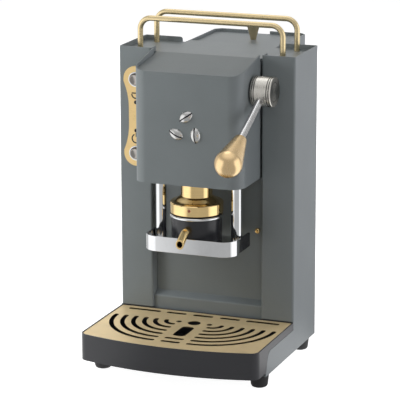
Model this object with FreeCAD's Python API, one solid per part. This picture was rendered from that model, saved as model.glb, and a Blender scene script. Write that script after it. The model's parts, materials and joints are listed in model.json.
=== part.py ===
import FreeCAD
import Part
import math
import os

V = FreeCAD.Vector
os.makedirs("parts", exist_ok=True)

# Pod espresso machine, millimetres.
# While the pieces are drawn, Y = 0 is the front plane of the casing, -Y is towards the user, +Z is up
# and Z = 0 is the surface that the feet stand on. Each piece is moved back as it is written,
# so that the origin lies under the middle of the whole machine.

# Sheet metal casing
casing_width = 200.0
casing_depth = 75.4
casing_top = 337.0
underside = 14.4
sheet = 1.5
bend = 0.8
flange_width = 37.2
flange_bottom = 48.5
return_depth = 13.5
rear_return_gap = 1.7
sheet_gap = 0.3
stiffener_height = 12.0
lip_corner = 3.0

# Low side cheeks that run forward beside the drip tray
cheek_top = 39.3
cheek_reach = 88.0
cheek_lean = 7.0
cheek_corner = 12.0
base_front_inset = 1.0

# Recessed top plate and the tongue that covers the hood
plate_recess = 5.0
tongue_start = 8.0
tongue_drop = 9.2
plate_tab_length = 10.0

# Hood
hood_side_gap = 1.9
hood_reach = 59.0
hood_corner = 15.5
hood_bottom = 203.7
hood_front_drop = 13.2
hood_corner_drop = 9.0
hood_tail = 12.0
hood_hole_clearance = 1.0

# Panel at the back of the cup space
panel_depth = 12.0
panel_toe_depth = 4.0
panel_crease = 65.6
panel_toe_top = 61.0
panel_screw_inset = 8.1
panel_screw_z = 143.0
panel_screw_diameter = 6.0
panel_screw_rim = 0.8
panel_screw_height = 2.3
panel_screw_bevel = 0.9
panel_screw_socket = 2.8
panel_screw_socket_depth = 1.1

# Housing of the water tank
housing_inset = 45.7
housing_depth = 99.6
housing_chamfer = 6.5
housing_drop = 1.0
housing_flange = 11.0
notch_width = 21.0
notch_depth = 4.0

# Tank, its shelf and its lid
tank_wall = 2.5
tank_gap = 2.8
tank_bottom = 131.0
tank_corner = 14.0
lid_sink = 3.0
lid_seat_gap = 0.3
lid_gap = 0.7
knob_inset = 41.0
knob_offset = 5.0
knob_base_diameter = 6.6
knob_diameter = 15.0
knob_height = 17.0
knob_stem_height = 1.0
knob_rim_height = 2.4
knob_rim_edge = 0.8
knob_top_edge = 1.0

# Rails that keep cups on the top plate
rail_diameter = 6.0
rail_inset = 19.0
rail_height = 34.4
rail_bend = 12.5
front_rail_y = 14.7
rear_rail_inset = 14.1
rail_tail = 8.0
rail_clearance = 0.05

# Carrier shelf, guide and the frames that hold the lever shaft
shelf_rise = 2.0
shelf_thickness = 4.0
guide_wall = 3.2
guide_height = 9.5
guide_flange = 3.0
guide_flange_thickness = 2.0
frame_thickness = 4.0
frame_half_gap = 27.5
frame_front_reach = 23.0
frame_back_reach = 29.0
frame_headroom = 12.5
frame_foot_width = 6.0
frame_foot_length = 12.0
frame_foot_thickness = 3.0
frame_window_width = 20.0
frame_window_length = 56.0
frame_window_rise = 13.5
running_clearance = 0.05
bush_wall = 3.0
bush_flange_width = 2.0
bush_flange_thickness = 1.5
bush_stand = 1.0

# Piston and its brass head
group_y = -27.5
neck_diameter = 33.6
neck_rise = 7.5
neck_root = 0.4
cone_height = 5.9
cone_lip = 2.2
cone_lip_drop = 1.4
cone_foot = 3.5
cone_foot_rise = 0.9
ring_height = 11.9
ring_diameter = 57.0
ring_chamfer = 0.8
ring_land = 1.8
set_screw_diameter = 3.4
set_screw_length = 5.0
set_screw_sink = 0.4
set_screw_drop = 4.8
set_screw_turn = 4.5
set_screw_key = 1.7
set_screw_key_depth = 2.0
stem_diameter = 14.0
yoke_width = 18.0
yoke_wall = 6.0
yoke_clearance = 0.35
gasket_diameter = 53.0
gasket_bore = 44.0
gasket_stand = 0.9
gasket_gap = 0.4
gasket_seat = 2.0
screen_thickness = 1.0
screen_recess = 0.4
screen_hole_diameter = 1.8
screen_hole_pitch = 8.3
stroke = 7.97

# Lever
lever_offset = 6.5
lever_drop = 34.0
lever_swing = 80.0
lever_droop = 26.5
lever_reach = 120.0
shaft_diameter = 12.0
crank_pin_diameter = 8.0
crank_web_thickness = 5.0
crank_web_gap = 1.0
crank_web_rim = 1.0
shaft_end_stand = 4.0
hub_diameter = 32.0
hub_length = 22.5
hub_gap = 1.4
hub_groove_depth = 1.0
hub_groove_width = 0.9
hub_groove_count = 2
hub_ridge_width = 1.3
hub_rim_width = 1.6
hub_edge = 0.6
hub_dish = 0.8
hub_cap = 3.2
rod_diameter = 8.0
rod_seat = 9.0
ball_diameter = 29.0
handle_length = 39.0
handle_neck_diameter = 13.2
handle_socket = 12.0

# Columns, bracket and polished band
column_inset = 9.0
column_offset = 5.5
column_diameter = 12.0
column_stud_diameter = 6.0
nut_height = 4.0
nut_flats = 10.0
nut_stand = 1.0
bracket_half_width = 52.0
bracket_margin = 0.4
bracket_tail = 22.5
bracket_corner = 17.0
bracket_top = 145.7
bracket_height = 16.5
bracket_plate = 4.0
bracket_floor_drop = 7.0
bracket_wall = 1.0
bracket_step = 0.9
band_thickness = 1.5
band_tail = 3.0
band_end_corner = 3.0

# Pod holder and spout
holder_diameter = 54.0
holder_depth = 15.2
holder_spigot_diameter = 44.0
holder_rise = 18.9
rim_height = 3.1
rim_diameter = 58.0
rim_bore = 47.0
rim_edge = 0.9
seat_depth = 4.0
seat_land = 3.0
funnel_depth = 8.0
funnel_bore = 6.0
filter_thickness = 1.0
filter_hole_diameter = 2.0
filter_hole_pitch = 8.3
spout_diameter = 9.2
spout_bore = 6.2
spout_rise = 8.6
spout_reach = 23.0
spout_drop = 9.5
spout_root = 3.0
spout_level = 7.0
spout_bend = 16.0

# Control plate and push buttons on the left flange
control_inset = 20.0
upper_button_drop = 35.0
button_spacing = 81.2
control_lobe_radius = 14.3
control_neck_width = 16.6
control_fillet = 72.0
control_thickness = 2.0
bezel_diameter = 16.6
bezel_bore = 12.6
bezel_height = 1.8
bezel_edge = 0.8
button_diameter = 11.6
button_stand = 4.4
button_length = 8.6
button_edge = 0.8
button_travel = 1.5
button_end_gap = 0.6
switch_diameter = 14.4
switch_wall = 1.0
switch_depth = 24.0
lens_diameter = 3.0
lens_stand = 0.7
lens_rim = 0.3
upper_lens_drop = 25.3
lower_lens_rise = 24.8

# Ornament on the hood
ornament_drop = 72.0
bean_length = 20.0
bean_tilt = 35.0
bean_width = 13.0
bean_height = 4.0
bean_groove = 1.4
bean_orbit = 12.5
bean_count = 3

# Drip tray and grille
tray_front = -128.5
tray_front_radius = 345.0
tray_corner = 10.0
tray_top = 47.5
tray_floor_gap = 0.3
tray_wall = 2.5
tray_floor = 2.5
tray_back = 1.0
tray_gap = 0.5
runner_height = 2.4
runner_width = 6.0
runner_offset = 60.0
grille_thickness = 1.0
grille_seat_gap = 0.4
grille_rim = 1.4
grille_ledge = 3.0
grille_ledge_depth = 4.0
slot_width = 5.0
arc_centre_x = 21.5
arc_centre_y = -36.5
arc_margin = 9.2
arc_first_radius = 10.2
arc_count = 6
arc_end_x = 20.5
dash_y = -9.6
dash_width = 5.0
dash_margin = 12.5
dash_outer_length = 38.0
dash_length = 23.0
dash_gap = 7.0
cup_hole_diameter = 14.0
centre_slot_width = 14.0
centre_slot_length = 33.5
centre_slot_y = -67.8
centre_slot_corner = 5.0
short_dash_length = 21.5
dot_diameter = 6.0
dot_x = 17.6

# Feet
foot_diameter = 20.0
foot_tread_diameter = 18.0
foot_round = 3.0
foot_bevel = 0.9
foot_rim = 2.0
foot_inset = 10.8
front_foot_inset = 10.5
middle_foot_side_inset = 12.0
middle_foot_inset = 17.4
rear_foot_side_inset = 16.3
rear_foot_inset = 17.0

# Pump, boiler, board and mains inlet
pump_x = -8.0
pump_diameter = 42.0
pump_length = 56.0
pump_frame_wall = 3.0
pump_frame_length = 37.3
pump_nose_diameter = 22.0
pump_nose_length = 26.0
pump_tail_diameter = 11.0
pump_tail_length = 14.0
pump_foot_width = 14.0
pump_foot_length = 28.0
pump_foot_height = 18.1
boiler_diameter = 50.0
boiler_headroom = 38.0
boiler_back_gap = 3.4
boiler_shoulder = 8.0
boiler_flange = 4.0
boiler_port_diameter = 10.0
boiler_port_length = 9.0
board_front_gap = 2.5
board_back_gap = 9.4
board_drop = 16.5
board_height = 100.0
board_thickness = 1.6
board_standoff = 8.0
board_post_diameter = 5.0
board_post_inset = 5.0
fuse_block = (15.0, 18.0, 28.0)
fuse_block_inset = (4.0, 14.0)
transformer = (18.0, 20.0, 30.0)
transformer_inset = (4.0, 20.0)
capacitor_diameter = 10.0
capacitor_height = 16.0
capacitor_inset = (14.0, 60.0)
inlet_inset = 22.5
inlet_z = 48.0
inlet_body = (22.0, 30.0)
inlet_flange = (30.0, 44.0)
inlet_flange_thickness = 2.5
inlet_depth = 22.0
inlet_cavity = (16.5, 24.0)
inlet_cavity_depth = 16.0
inlet_cavity_corner = 4.0
inlet_pin = (2.0, 4.0)
inlet_pin_sink = 2.0
inlet_pin_spacing = 7.0
inlet_pin_offset = 3.4
hose_diameter = 6.0
hose_bend = 9.0
hose_rise_gap = 15.0
hose_loop_height = 12.0
hose_drop = 50.0
hose_side_gap = 20.5
hose_back_reach = 30.0
hose_lift = 4.0
hose_tail_inset = 1.5
valve_diameter = 16.0
valve_height = 12.0

# Cutting shapes run this far past what they cut
over = 1.0

# Places worked out from the sizes above
half_width = casing_width / 2
wall_inside = half_width - sheet
opening_half = half_width - flange_width
plate_top = casing_top - plate_recess
plate_bottom = plate_top - sheet
base_top = underside + sheet
hood_half = opening_half - hood_side_gap
hood_inside = hood_half - sheet
hood_front_top = casing_top - hood_front_drop
hood_corner_top = casing_top - hood_corner_drop
housing_half = half_width - housing_inset
housing_back = casing_depth + housing_depth
housing_inside = housing_half - sheet
housing_top = plate_top - housing_drop
rear_opening_half = housing_half + rear_return_gap
rail_half_width = half_width - rail_inset
rear_rail_y = casing_depth - rear_rail_inset
shelf_bottom = hood_bottom + shelf_rise
shelf_top = shelf_bottom + shelf_thickness
lid_top = housing_top - lid_sink
lid_bottom = lid_top - sheet
lid_front = casing_depth + plate_tab_length + lid_gap
tank_top = lid_bottom - lid_seat_gap
valve_centre = V(0, casing_depth + tank_corner + valve_diameter, tank_bottom - valve_height)
column_x = bracket_half_width - column_inset
column_y = group_y + column_offset
bracket_front = group_y - holder_diameter / 2 - bracket_margin - bracket_wall - band_thickness
bracket_back = group_y + bracket_tail
bracket_bottom = bracket_top - bracket_height
bracket_floor = bracket_top - bracket_floor_drop
bracket_floor_bottom = bracket_floor - bracket_plate
holder_bottom = bracket_top - holder_depth
holder_top = bracket_top + holder_rise
rim_top = holder_top + rim_height
spout_z = bracket_top + spout_rise
ring_bottom = rim_top + gasket_gap + gasket_stand
ring_top = ring_bottom + ring_height
cone_top = ring_top + cone_height
neck_top = shelf_top + neck_rise
lever_y = group_y + lever_offset
lever_z = casing_top - lever_drop
frame_front = lever_y - frame_front_reach
frame_back = lever_y + frame_back_reach
frame_top = plate_bottom - frame_headroom
hub_start = hood_half + hub_gap
hub_end = hub_start + hub_length
rod_x = hub_start + hub_length / 2
crank_throw = stroke / (2 * math.sin(math.radians(lever_swing / 2)))
crank_pin_y = lever_y - crank_throw * math.cos(math.radians(lever_swing / 2))
crank_pin_z = lever_z - crank_throw * math.sin(math.radians(lever_swing / 2))
crank_reach_y = lever_y - crank_throw
control_x = control_inset - half_width
upper_button_z = casing_top - upper_button_drop
lower_button_z = upper_button_z - button_spacing
upper_lens_z = upper_button_z - upper_lens_drop
lower_lens_z = lower_button_z + lower_lens_rise
ornament_z = casing_top - ornament_drop
tray_bottom = base_top + tray_floor_gap + runner_height
grille_top = tray_top - grille_seat_gap
grille_bottom = grille_top - grille_thickness
ball_y = lever_y - lever_reach * math.cos(math.radians(lever_droop))
front_extent = ball_y - ball_diameter / 2
boiler_radius = boiler_diameter / 2
boiler_y = casing_depth - boiler_back_gap - boiler_radius - boiler_flange
pump_y = boiler_y
pump_z = base_top + pump_foot_height + pump_frame_wall + pump_diameter / 2
pump_nose = V(pump_x + pump_length / 2 + pump_nose_length, pump_y, pump_z)
pump_tail = V(pump_x - pump_length / 2 - pump_tail_length, pump_y, pump_z)
riser_x = pump_nose.x + hose_rise_gap
inlet_x = inlet_inset - half_width
inlet_side = inlet_x + inlet_body[0] / 2
origin_shift = -(front_extent + housing_back) / 2


def save(shape, name):
    shape = shape.copy()
    shape.translate(V(0, origin_shift, 0))
    shape.exportStep("parts/" + name + ".step")


def block(x, y, z):
    return Part.makeBox(x[1] - x[0], y[1] - y[0], z[1] - z[0], V(x[0], y[0], z[0]))


def rod(diameter, start, end):
    line = end - start
    return Part.makeCylinder(diameter / 2, line.Length, start, line)


def turned(profile, centre, axis):
    """Revolves a closed outline of (radius, height) points about an axis through centre."""
    points = [V(r, 0, h) for r, h in profile]
    face = Part.Face(Part.makePolygon(points + points[:1]))
    solid = face.revolve(V(0, 0, 0), V(0, 0, 1), 360)
    solid.Placement = FreeCAD.Placement(centre, FreeCAD.Rotation(V(0, 0, 1), axis))
    return Part.Solid(solid.Shells[0]) if solid.ShapeType != "Solid" else solid


def fused(pieces):
    whole = pieces[0]
    for piece in pieces[1:]:
        whole = whole.fuse(piece)
    return whole.removeSplitter()


def mirrored(shape):
    return shape.mirror(V(0, 0, 0), V(1, 0, 0))


def about(centre, width):
    """The span of a width about its middle."""
    return (centre - width / 2, centre + width / 2)


def rounded_chain(points, radii):
    """Edges along points, with each inner corner rounded to its radius."""
    edges = []
    start = points[0]
    for i in range(1, len(points) - 1):
        before = (points[i - 1] - points[i]).normalize()
        after = (points[i + 1] - points[i]).normalize()
        half = before.getAngle(after) / 2
        cut = radii[i - 1] / math.tan(half)
        first = points[i] + before * cut
        last = points[i] + after * cut
        inward = (before + after).normalize()
        middle = points[i] + inward * (radii[i - 1] / math.sin(half) - radii[i - 1])
        if (first - start).Length > 1e-6:
            edges.append(Part.makeLine(start, first))
        edges.append(Part.Arc(first, middle, last).toShape())
        start = last
    edges.append(Part.makeLine(start, points[-1]))
    return edges


def bent_sheet(points, thickness, radii, travel, normal):
    """A bent sheet: points lie on one face, the other face is to the left of the path when
    the normal points at the viewer, and travel is the direction and length of the extrusion.
    Each radius is that of the inside of its bend."""
    lefts = []
    for i in range(len(points) - 1):
        lefts.append(normal.cross(points[i + 1] - points[i]).normalize())
    offset = [points[0] + lefts[0] * thickness]
    for i in range(1, len(points) - 1):
        miter = (lefts[i - 1] + lefts[i]).normalize()
        offset.append(points[i] + miter * (thickness / miter.dot(lefts[i])))
    offset.append(points[-1] + lefts[-1] * thickness)
    face_radii = []
    offset_radii = []
    for i in range(1, len(points) - 1):
        left_turn = (points[i + 1] - points[i]).dot(lefts[i - 1]) > 0
        face_radii.append(radii[i - 1] + (abs(thickness) if left_turn == (thickness > 0) else 0))
        offset_radii.append(radii[i - 1] + (0 if left_turn == (thickness > 0) else abs(thickness)))
    edges = rounded_chain(points, face_radii)
    edges.append(Part.makeLine(points[-1], offset[-1]))
    edges += rounded_chain(offset[::-1], offset_radii[::-1])
    edges.append(Part.makeLine(offset[0], points[0]))
    return Part.Face(Part.Wire(Part.__sortEdges__(edges))).extrude(travel)


def plan(x, y):
    return V(x, y, 0)


def side(y, z):
    return V(0, y, z)


def prism_along_x(points, x):
    """An outline of (y, z) points, extruded from x[0] to x[1]."""
    corners = [V(x[0], y, z) for y, z in points]
    return Part.Face(Part.makePolygon(corners + corners[:1])).extrude(V(x[1] - x[0], 0, 0))


def edge_at(shape, spot):
    """The edge whose middle is nearest to the spot."""
    def distance(edge):
        return (edge.valueAt((edge.FirstParameter + edge.LastParameter) / 2) - spot).Length

    return min(shape.Edges, key=distance)


def fillet_at(shape, radius, spots):
    return shape.makeFillet(radius, [edge_at(shape, spot) for spot in spots])


def slot(length, width, height, centre, along_x=True):
    """A straight round-ended slot, cut tool or boss, standing on centre."""
    reach = (length - width) / 2
    step = V(reach, 0, 0) if along_x else V(0, reach, 0)
    half = V(reach, width / 2, 0) if along_x else V(width / 2, reach, 0)
    middle = Part.makeBox(2 * half.x, 2 * half.y, height, centre - half)
    ends = [Part.makeCylinder(width / 2, height, centre + step * sign) for sign in (-1, 1)]
    return fused([middle] + ends)


def hose(points, radius):
    """A round tube along straight runs joined by tangent arcs."""
    edges = rounded_chain(points, [radius] * (len(points) - 2))
    wire = Part.Wire(edges)
    section = Part.Wire(Part.makeCircle(hose_diameter / 2, points[0], points[1] - points[0]))
    return wire.makePipeShell([section], True, True)


# Casing
def cheek_outline(grow):
    """Outline of a side cheek seen from the side; grow widens it for the pocket in the tray."""
    toe = V(0, -cheek_reach - grow, underside)
    shoulder = V(0, -cheek_reach + cheek_lean - grow, cheek_top + grow)
    back = V(0, casing_depth / 2, cheek_top + grow)
    heel = V(0, casing_depth / 2, underside)
    edges = rounded_chain([toe, shoulder, back], [cheek_corner])
    edges.append(Part.makeLine(back, heel))
    edges.append(Part.makeLine(heel, toe))
    return Part.Face(Part.Wire(edges))


def casing_side():
    path = [
        plan(opening_half, return_depth),
        plan(opening_half, 0),
        plan(half_width, 0),
        plan(half_width, casing_depth),
        plan(rear_opening_half, casing_depth),
    ]
    wall = bent_sheet(path, sheet, [bend] * 3, V(0, 0, casing_top - underside), V(0, 0, 1))
    wall.translate(V(0, 0, underside))
    below = (underside - over, flange_bottom)
    below_flange = block((opening_half - over, wall_inside - bend), (-over, return_depth + over), below)
    corner = block((opening_half - over, half_width + over), (-over, sheet + bend), below)
    wall = wall.cut(below_flange).cut(corner)
    cheek = cheek_outline(0).extrude(V(sheet, 0, 0))
    cheek.translate(V(wall_inside, 0, 0))
    corner_fill = block((wall_inside, half_width), (0, sheet + 2 * bend), (cheek_top - over, flange_bottom))
    wall = fused([wall, cheek, corner_fill])
    lip = V(rear_opening_half, casing_depth - sheet / 2, casing_top)
    return fillet_at(wall, lip_corner, [lip])


casing_right = casing_side()
casing_left = mirrored(casing_side())
switch_hole = switch_diameter + 2 * sheet_gap
for button_z in (upper_button_z, lower_button_z):
    hole = rod(switch_hole, V(control_x, -over, button_z), V(control_x, sheet + over, button_z))
    casing_left = casing_left.cut(hole)
inlet_hole = block(
    about(inlet_x, inlet_body[0] + 2 * sheet_gap),
    (casing_depth - 2 * sheet, casing_depth + over),
    about(inlet_z, inlet_body[1] + 2 * sheet_gap),
)
casing_left = casing_left.cut(inlet_hole)
save(casing_left, "casing_left")
save(casing_right, "casing_right")


# Top plate with the tongue over the hood
def top_plate():
    edge_half = wall_inside - sheet_gap
    ear_back = return_depth + sheet_gap
    level = (plate_bottom, plate_top)
    flat = block((-edge_half, edge_half), (ear_back, casing_depth - sheet - sheet_gap), level)
    middle_half = opening_half - sheet_gap
    middle = block((-middle_half, middle_half), (tongue_start, ear_back), level)
    tab_half = housing_inside - sheet_gap
    tab = block((-tab_half, tab_half), (ear_back, casing_depth + plate_tab_length), level)
    ear_start = opening_half + sheet + sheet_gap
    ears = []
    for x in ((-edge_half, -ear_start), (ear_start, edge_half)):
        ears.append(block(x, (sheet + sheet_gap, ear_back), level))
    tip = -hood_reach + sheet + sheet_gap
    path = [
        side(2 * tongue_start, plate_top),
        side(tongue_start, plate_top),
        side(tip, plate_top - tongue_drop),
    ]
    tongue_half = hood_inside - sheet_gap
    tongue = bent_sheet(path, sheet, [bend], V(2 * tongue_half, 0, 0), V(1, 0, 0))
    tongue.translate(V(-tongue_half, 0, 0))
    tip_corner = hood_corner - sheet - sheet_gap
    tongue = fillet_at(tongue, tip_corner, [
        V(-tongue_half, tip, plate_top - tongue_drop - sheet / 2),
        V(tongue_half, tip, plate_top - tongue_drop - sheet / 2),
    ])
    plate = fused([flat, middle, tab, tongue] + ears)
    bore = rail_diameter + 2 * rail_clearance
    for x in (-rail_half_width, rail_half_width):
        for y in (front_rail_y, rear_rail_y):
            plate = plate.cut(rod(bore, V(x, y, plate_bottom - over), V(x, y, plate_top + over)))
    return plate


save(top_plate(), "top_plate")


# Hood
def hood_shell():
    path = [
        plan(-hood_half, hood_tail),
        plan(-hood_half, -hood_reach),
        plan(hood_half, -hood_reach),
        plan(hood_half, hood_tail),
    ]
    inner_corner = hood_corner - sheet
    wall = bent_sheet(path, sheet, [inner_corner] * 2, V(0, 0, casing_top - hood_bottom), V(0, 0, 1))
    wall.translate(V(0, 0, hood_bottom))
    shoulder = plate_bottom - sheet_gap
    keep = [
        (hood_tail + over, hood_bottom - over),
        (hood_tail + over, shoulder),
        (sheet_gap, shoulder),
        (sheet_gap, casing_top),
        (-hood_reach + hood_corner, hood_corner_top),
        (-hood_reach + sheet, hood_front_top),
        (-hood_reach - over, hood_front_top),
        (-hood_reach - over, hood_bottom - over),
    ]
    wall = wall.common(prism_along_x(keep, (-hood_half - over, hood_half + over)))
    bore = shaft_diameter + 2 * hood_hole_clearance
    return wall.cut(rod(bore, V(hood_inside - over, lever_y, lever_z), V(hood_half + over, lever_y, lever_z)))


save(hood_shell(), "hood_shell")


def hood_ornament():
    """Coffee beans set in a ring, each a flattened turned form with a groove along it."""
    beans = []
    for i in range(bean_count):
        arc = Part.Arc(V(-bean_length / 2, 0, 0), V(0, bean_width / 2, 0), V(bean_length / 2, 0, 0)).toShape()
        outline = Part.Wire([arc, Part.makeLine(V(bean_length / 2, 0, 0), V(-bean_length / 2, 0, 0))])
        bean = Part.Face(outline).revolve(V(0, 0, 0), V(1, 0, 0), 360)
        bean = Part.Solid(bean.Shells[0]) if bean.ShapeType != "Solid" else bean
        back = bean_width / 2 - bean_height
        keep = block((-bean_length, bean_length), (-bean_width, bean_width), (back, bean_width))
        bean = bean.common(keep)
        groove = rod(bean_groove, V(-bean_length, 0, bean_width / 2), V(bean_length, 0, bean_width / 2))
        bean = bean.cut(groove)
        bean.translate(V(0, 0, -back))
        bean.rotate(V(0, 0, 0), V(0, 0, 1), bean_tilt)
        bean.translate(V(0, bean_orbit, 0))
        bean.rotate(V(0, 0, 0), V(0, 0, 1), 360 / bean_count * i)
        bean.rotate(V(0, 0, 0), V(1, 0, 0), 90)
        bean.translate(V(0, -hood_reach, ornament_z))
        beans.append(bean)
    return Part.makeCompound(beans)


save(hood_ornament(), "hood_ornament")


# Panel at the back of the cup space and its screws
def recess_panel():
    half = opening_half - sheet_gap
    path = [
        side(panel_depth, shelf_bottom - sheet_gap),
        side(panel_depth, panel_crease),
        side(panel_toe_depth, panel_toe_top),
        side(panel_toe_depth, base_top),
    ]
    panel = bent_sheet(path, sheet, [bend] * 2, V(2 * half, 0, 0), V(1, 0, 0))
    panel.translate(V(-half, 0, 0))
    return panel


save(recess_panel(), "recess_panel")


def panel_screws():
    """Domed heads with a round socket."""
    rim = panel_screw_diameter / 2
    socket = panel_screw_socket / 2
    socket_floor = panel_screw_height - panel_screw_socket_depth
    shoulder = (panel_screw_rim + panel_screw_height) / 2 + panel_screw_bevel / 3
    head = [(0, 0), (rim, 0), (rim, panel_screw_rim), (rim - panel_screw_bevel, shoulder)]
    head += [(socket, panel_screw_height), (socket, socket_floor), (0, socket_floor)]
    panel_screw_x = opening_half - panel_screw_inset
    screws = []
    for x in (-panel_screw_x, panel_screw_x):
        screws.append(turned(head, V(x, panel_depth, panel_screw_z), V(0, -1, 0)))
    return Part.makeCompound(screws)


save(panel_screws(), "panel_screws")


# Housing of the water tank
def rear_housing():
    flange_y = casing_depth - sheet
    path = [
        plan(-housing_half - housing_flange, flange_y),
        plan(-housing_half, flange_y),
        plan(-housing_half, housing_back - housing_chamfer),
        plan(-housing_half + housing_chamfer, housing_back),
        plan(housing_half - housing_chamfer, housing_back),
        plan(housing_half, housing_back - housing_chamfer),
        plan(housing_half, flange_y),
        plan(housing_half + housing_flange, flange_y),
    ]
    wall = bent_sheet(path, -sheet, [bend] * 6, V(0, 0, housing_top - underside), V(0, 0, 1))
    wall.translate(V(0, 0, underside))
    flange_top = plate_bottom - sheet_gap
    flange_end = housing_half + housing_flange + over
    above = (flange_top, housing_top + over)
    for x in ((-flange_end, -housing_half), (housing_half, flange_end)):
        wall = wall.cut(block(x, (flange_y - 2 * sheet, flange_y + over), above))
    for x in ((-flange_end, -housing_inside), (housing_inside, flange_end)):
        wall = wall.cut(block(x, (flange_y - 2 * sheet, flange_y), (underside - over, base_top + sheet_gap)))
    wall = wall.cut(block(about(0, 2 * housing_half), (flange_y - 2 * sheet, flange_y), above))
    notch = block(
        about(0, notch_width),
        (housing_back - 2 * sheet, housing_back + over),
        (housing_top - notch_depth, housing_top + over),
    )
    return wall.cut(notch)


save(rear_housing(), "rear_housing")


def housing_prism(inset, y_front, z):
    """A block that fills the housing's inside, with its chamfered back corners."""
    half = housing_inside - inset
    back = housing_back - sheet - inset
    cut = housing_chamfer + sheet - inset
    points = [(-half, y_front), (half, y_front), (half, back - cut)]
    points += [(half - cut, back), (-half + cut, back), (-half, back - cut)]
    corners = [V(x, y, z[0]) for x, y in points]
    return Part.Face(Part.makePolygon(corners + corners[:1])).extrude(V(0, 0, z[1] - z[0]))


save(housing_prism(lid_gap, lid_front, (lid_bottom, lid_top)), "tank_lid")


def lid_knob():
    rim = knob_diameter / 2
    rim_bottom = knob_height - knob_rim_height
    profile = [
        (0, 0),
        (knob_base_diameter / 2, 0),
        (knob_base_diameter / 2, knob_stem_height),
        (rim - knob_rim_edge, rim_bottom - knob_rim_edge),
        (rim, rim_bottom),
        (rim, knob_height - knob_top_edge),
        (rim - knob_top_edge, knob_height),
        (0, knob_height),
    ]
    return turned(profile, V(knob_offset, housing_back - knob_inset, lid_top), V(0, 0, 1))


save(lid_knob(), "lid_knob")


def water_tank():
    outer = housing_prism(tank_gap, lid_front, (tank_bottom, tank_top))
    floor = tank_bottom + tank_wall
    inner = housing_prism(tank_gap + tank_wall, lid_front + tank_wall, (floor, tank_top + over))
    return outer.cut(inner).cut(rod(hose_diameter, valve_centre, V(0, valve_centre.y, floor + over)))


save(water_tank(), "water_tank")


def tank_shelf():
    """A thick plate with a stiffening apron along both sides."""
    plate_under = tank_bottom - 2 * sheet
    plate = housing_prism(sheet_gap, casing_depth, (plate_under, tank_bottom))
    hole_end = V(0, valve_centre.y, tank_bottom + over)
    plate = plate.cut(rod(valve_diameter + 2 * sheet_gap, valve_centre, hole_end))
    reach = housing_inside - sheet_gap
    apron_y = (casing_depth, housing_back - 2 * housing_chamfer)
    apron = block((reach - sheet, reach), apron_y, (tank_bottom - stiffener_height, plate_under + sheet))
    return fused([plate, apron, mirrored(apron)])


save(tank_shelf(), "tank_shelf")


# Base plate
def base_plate():
    """The bottom of the machine, with a bent-up edge along both sides of the casing."""
    half = wall_inside - sheet_gap
    level = (underside, base_top)
    front = base_front_inset - cheek_reach
    plate = block((-half, half), (front, casing_depth - sheet - sheet_gap), level)
    rear = housing_prism(sheet_gap, casing_depth - 4 * sheet, level)
    edge_y = (2 * panel_toe_depth, casing_depth - 4 * sheet)
    edge = block((half - sheet, half), edge_y, (underside, underside + stiffener_height))
    return fused([plate, rear, edge, mirrored(edge)])


save(base_plate(), "base_plate")


# Rubber feet
foot_tread = foot_tread_diameter / 2
foot_profile = [
    (0, 0),
    (foot_tread - foot_round, 0),
    (foot_tread - foot_bevel, foot_bevel),
    (foot_tread, foot_round),
    (foot_diameter / 2, underside - foot_rim),
    (foot_diameter / 2, underside),
    (0, underside),
]
foot_places = {
    "front": (half_width - foot_inset, front_foot_inset - cheek_reach),
    "middle": (half_width - middle_foot_side_inset, casing_depth - middle_foot_inset),
    "rear": (housing_half - rear_foot_side_inset, housing_back - rear_foot_inset),
}
for place, (x, y) in foot_places.items():
    save(turned(foot_profile, V(-x, y, 0), V(0, 0, 1)), "foot_" + place + "_left")
    save(turned(foot_profile, V(x, y, 0), V(0, 0, 1)), "foot_" + place + "_right")


# Cup rails
def cup_rail(y):
    """A bent bar whose ends pass through the top plate."""
    top = plate_top + rail_height
    bottom = plate_top - rail_tail
    points = [
        V(-rail_half_width, y, bottom),
        V(-rail_half_width, y, top),
        V(rail_half_width, y, top),
        V(rail_half_width, y, bottom),
    ]
    wire = Part.Wire(rounded_chain(points, [rail_bend] * 2))
    section = Part.Wire(Part.makeCircle(rail_diameter / 2, points[0], V(0, 0, 1)))
    return wire.makePipeShell([section], True, True)


save(cup_rail(front_rail_y), "front_rail")
save(cup_rail(rear_rail_y), "rear_rail")


# Carrier shelf inside the hood and casing
def carrier_shelf():
    level = (shelf_bottom, shelf_top)
    front_half = hood_inside - sheet_gap
    front_y = -hood_reach + sheet + sheet_gap
    joint_y = return_depth + sheet_gap
    front = block((-front_half, front_half), (front_y, joint_y), level)
    middle = (shelf_bottom + shelf_top) / 2
    corners = [V(x, front_y, middle) for x in (-front_half, front_half)]
    front = fillet_at(front, hood_corner - sheet, corners)
    rear_half = wall_inside - sheet_gap
    rear = block((-rear_half, rear_half), (joint_y, casing_depth - 3 * sheet), level)
    shelf = fused([front, rear])
    holes = [
        (neck_diameter + 2 * running_clearance + 2 * guide_wall, 0, group_y),
        (column_stud_diameter, -column_x, column_y),
        (column_stud_diameter, column_x, column_y),
        (hose_diameter + 2 * sheet_gap, riser_x, pump_y),
    ]
    for diameter, x, y in holes:
        shelf = shelf.cut(rod(diameter, V(x, y, shelf_bottom - over), V(x, y, shelf_top + over)))
    return shelf


save(carrier_shelf(), "carrier_shelf")


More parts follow.
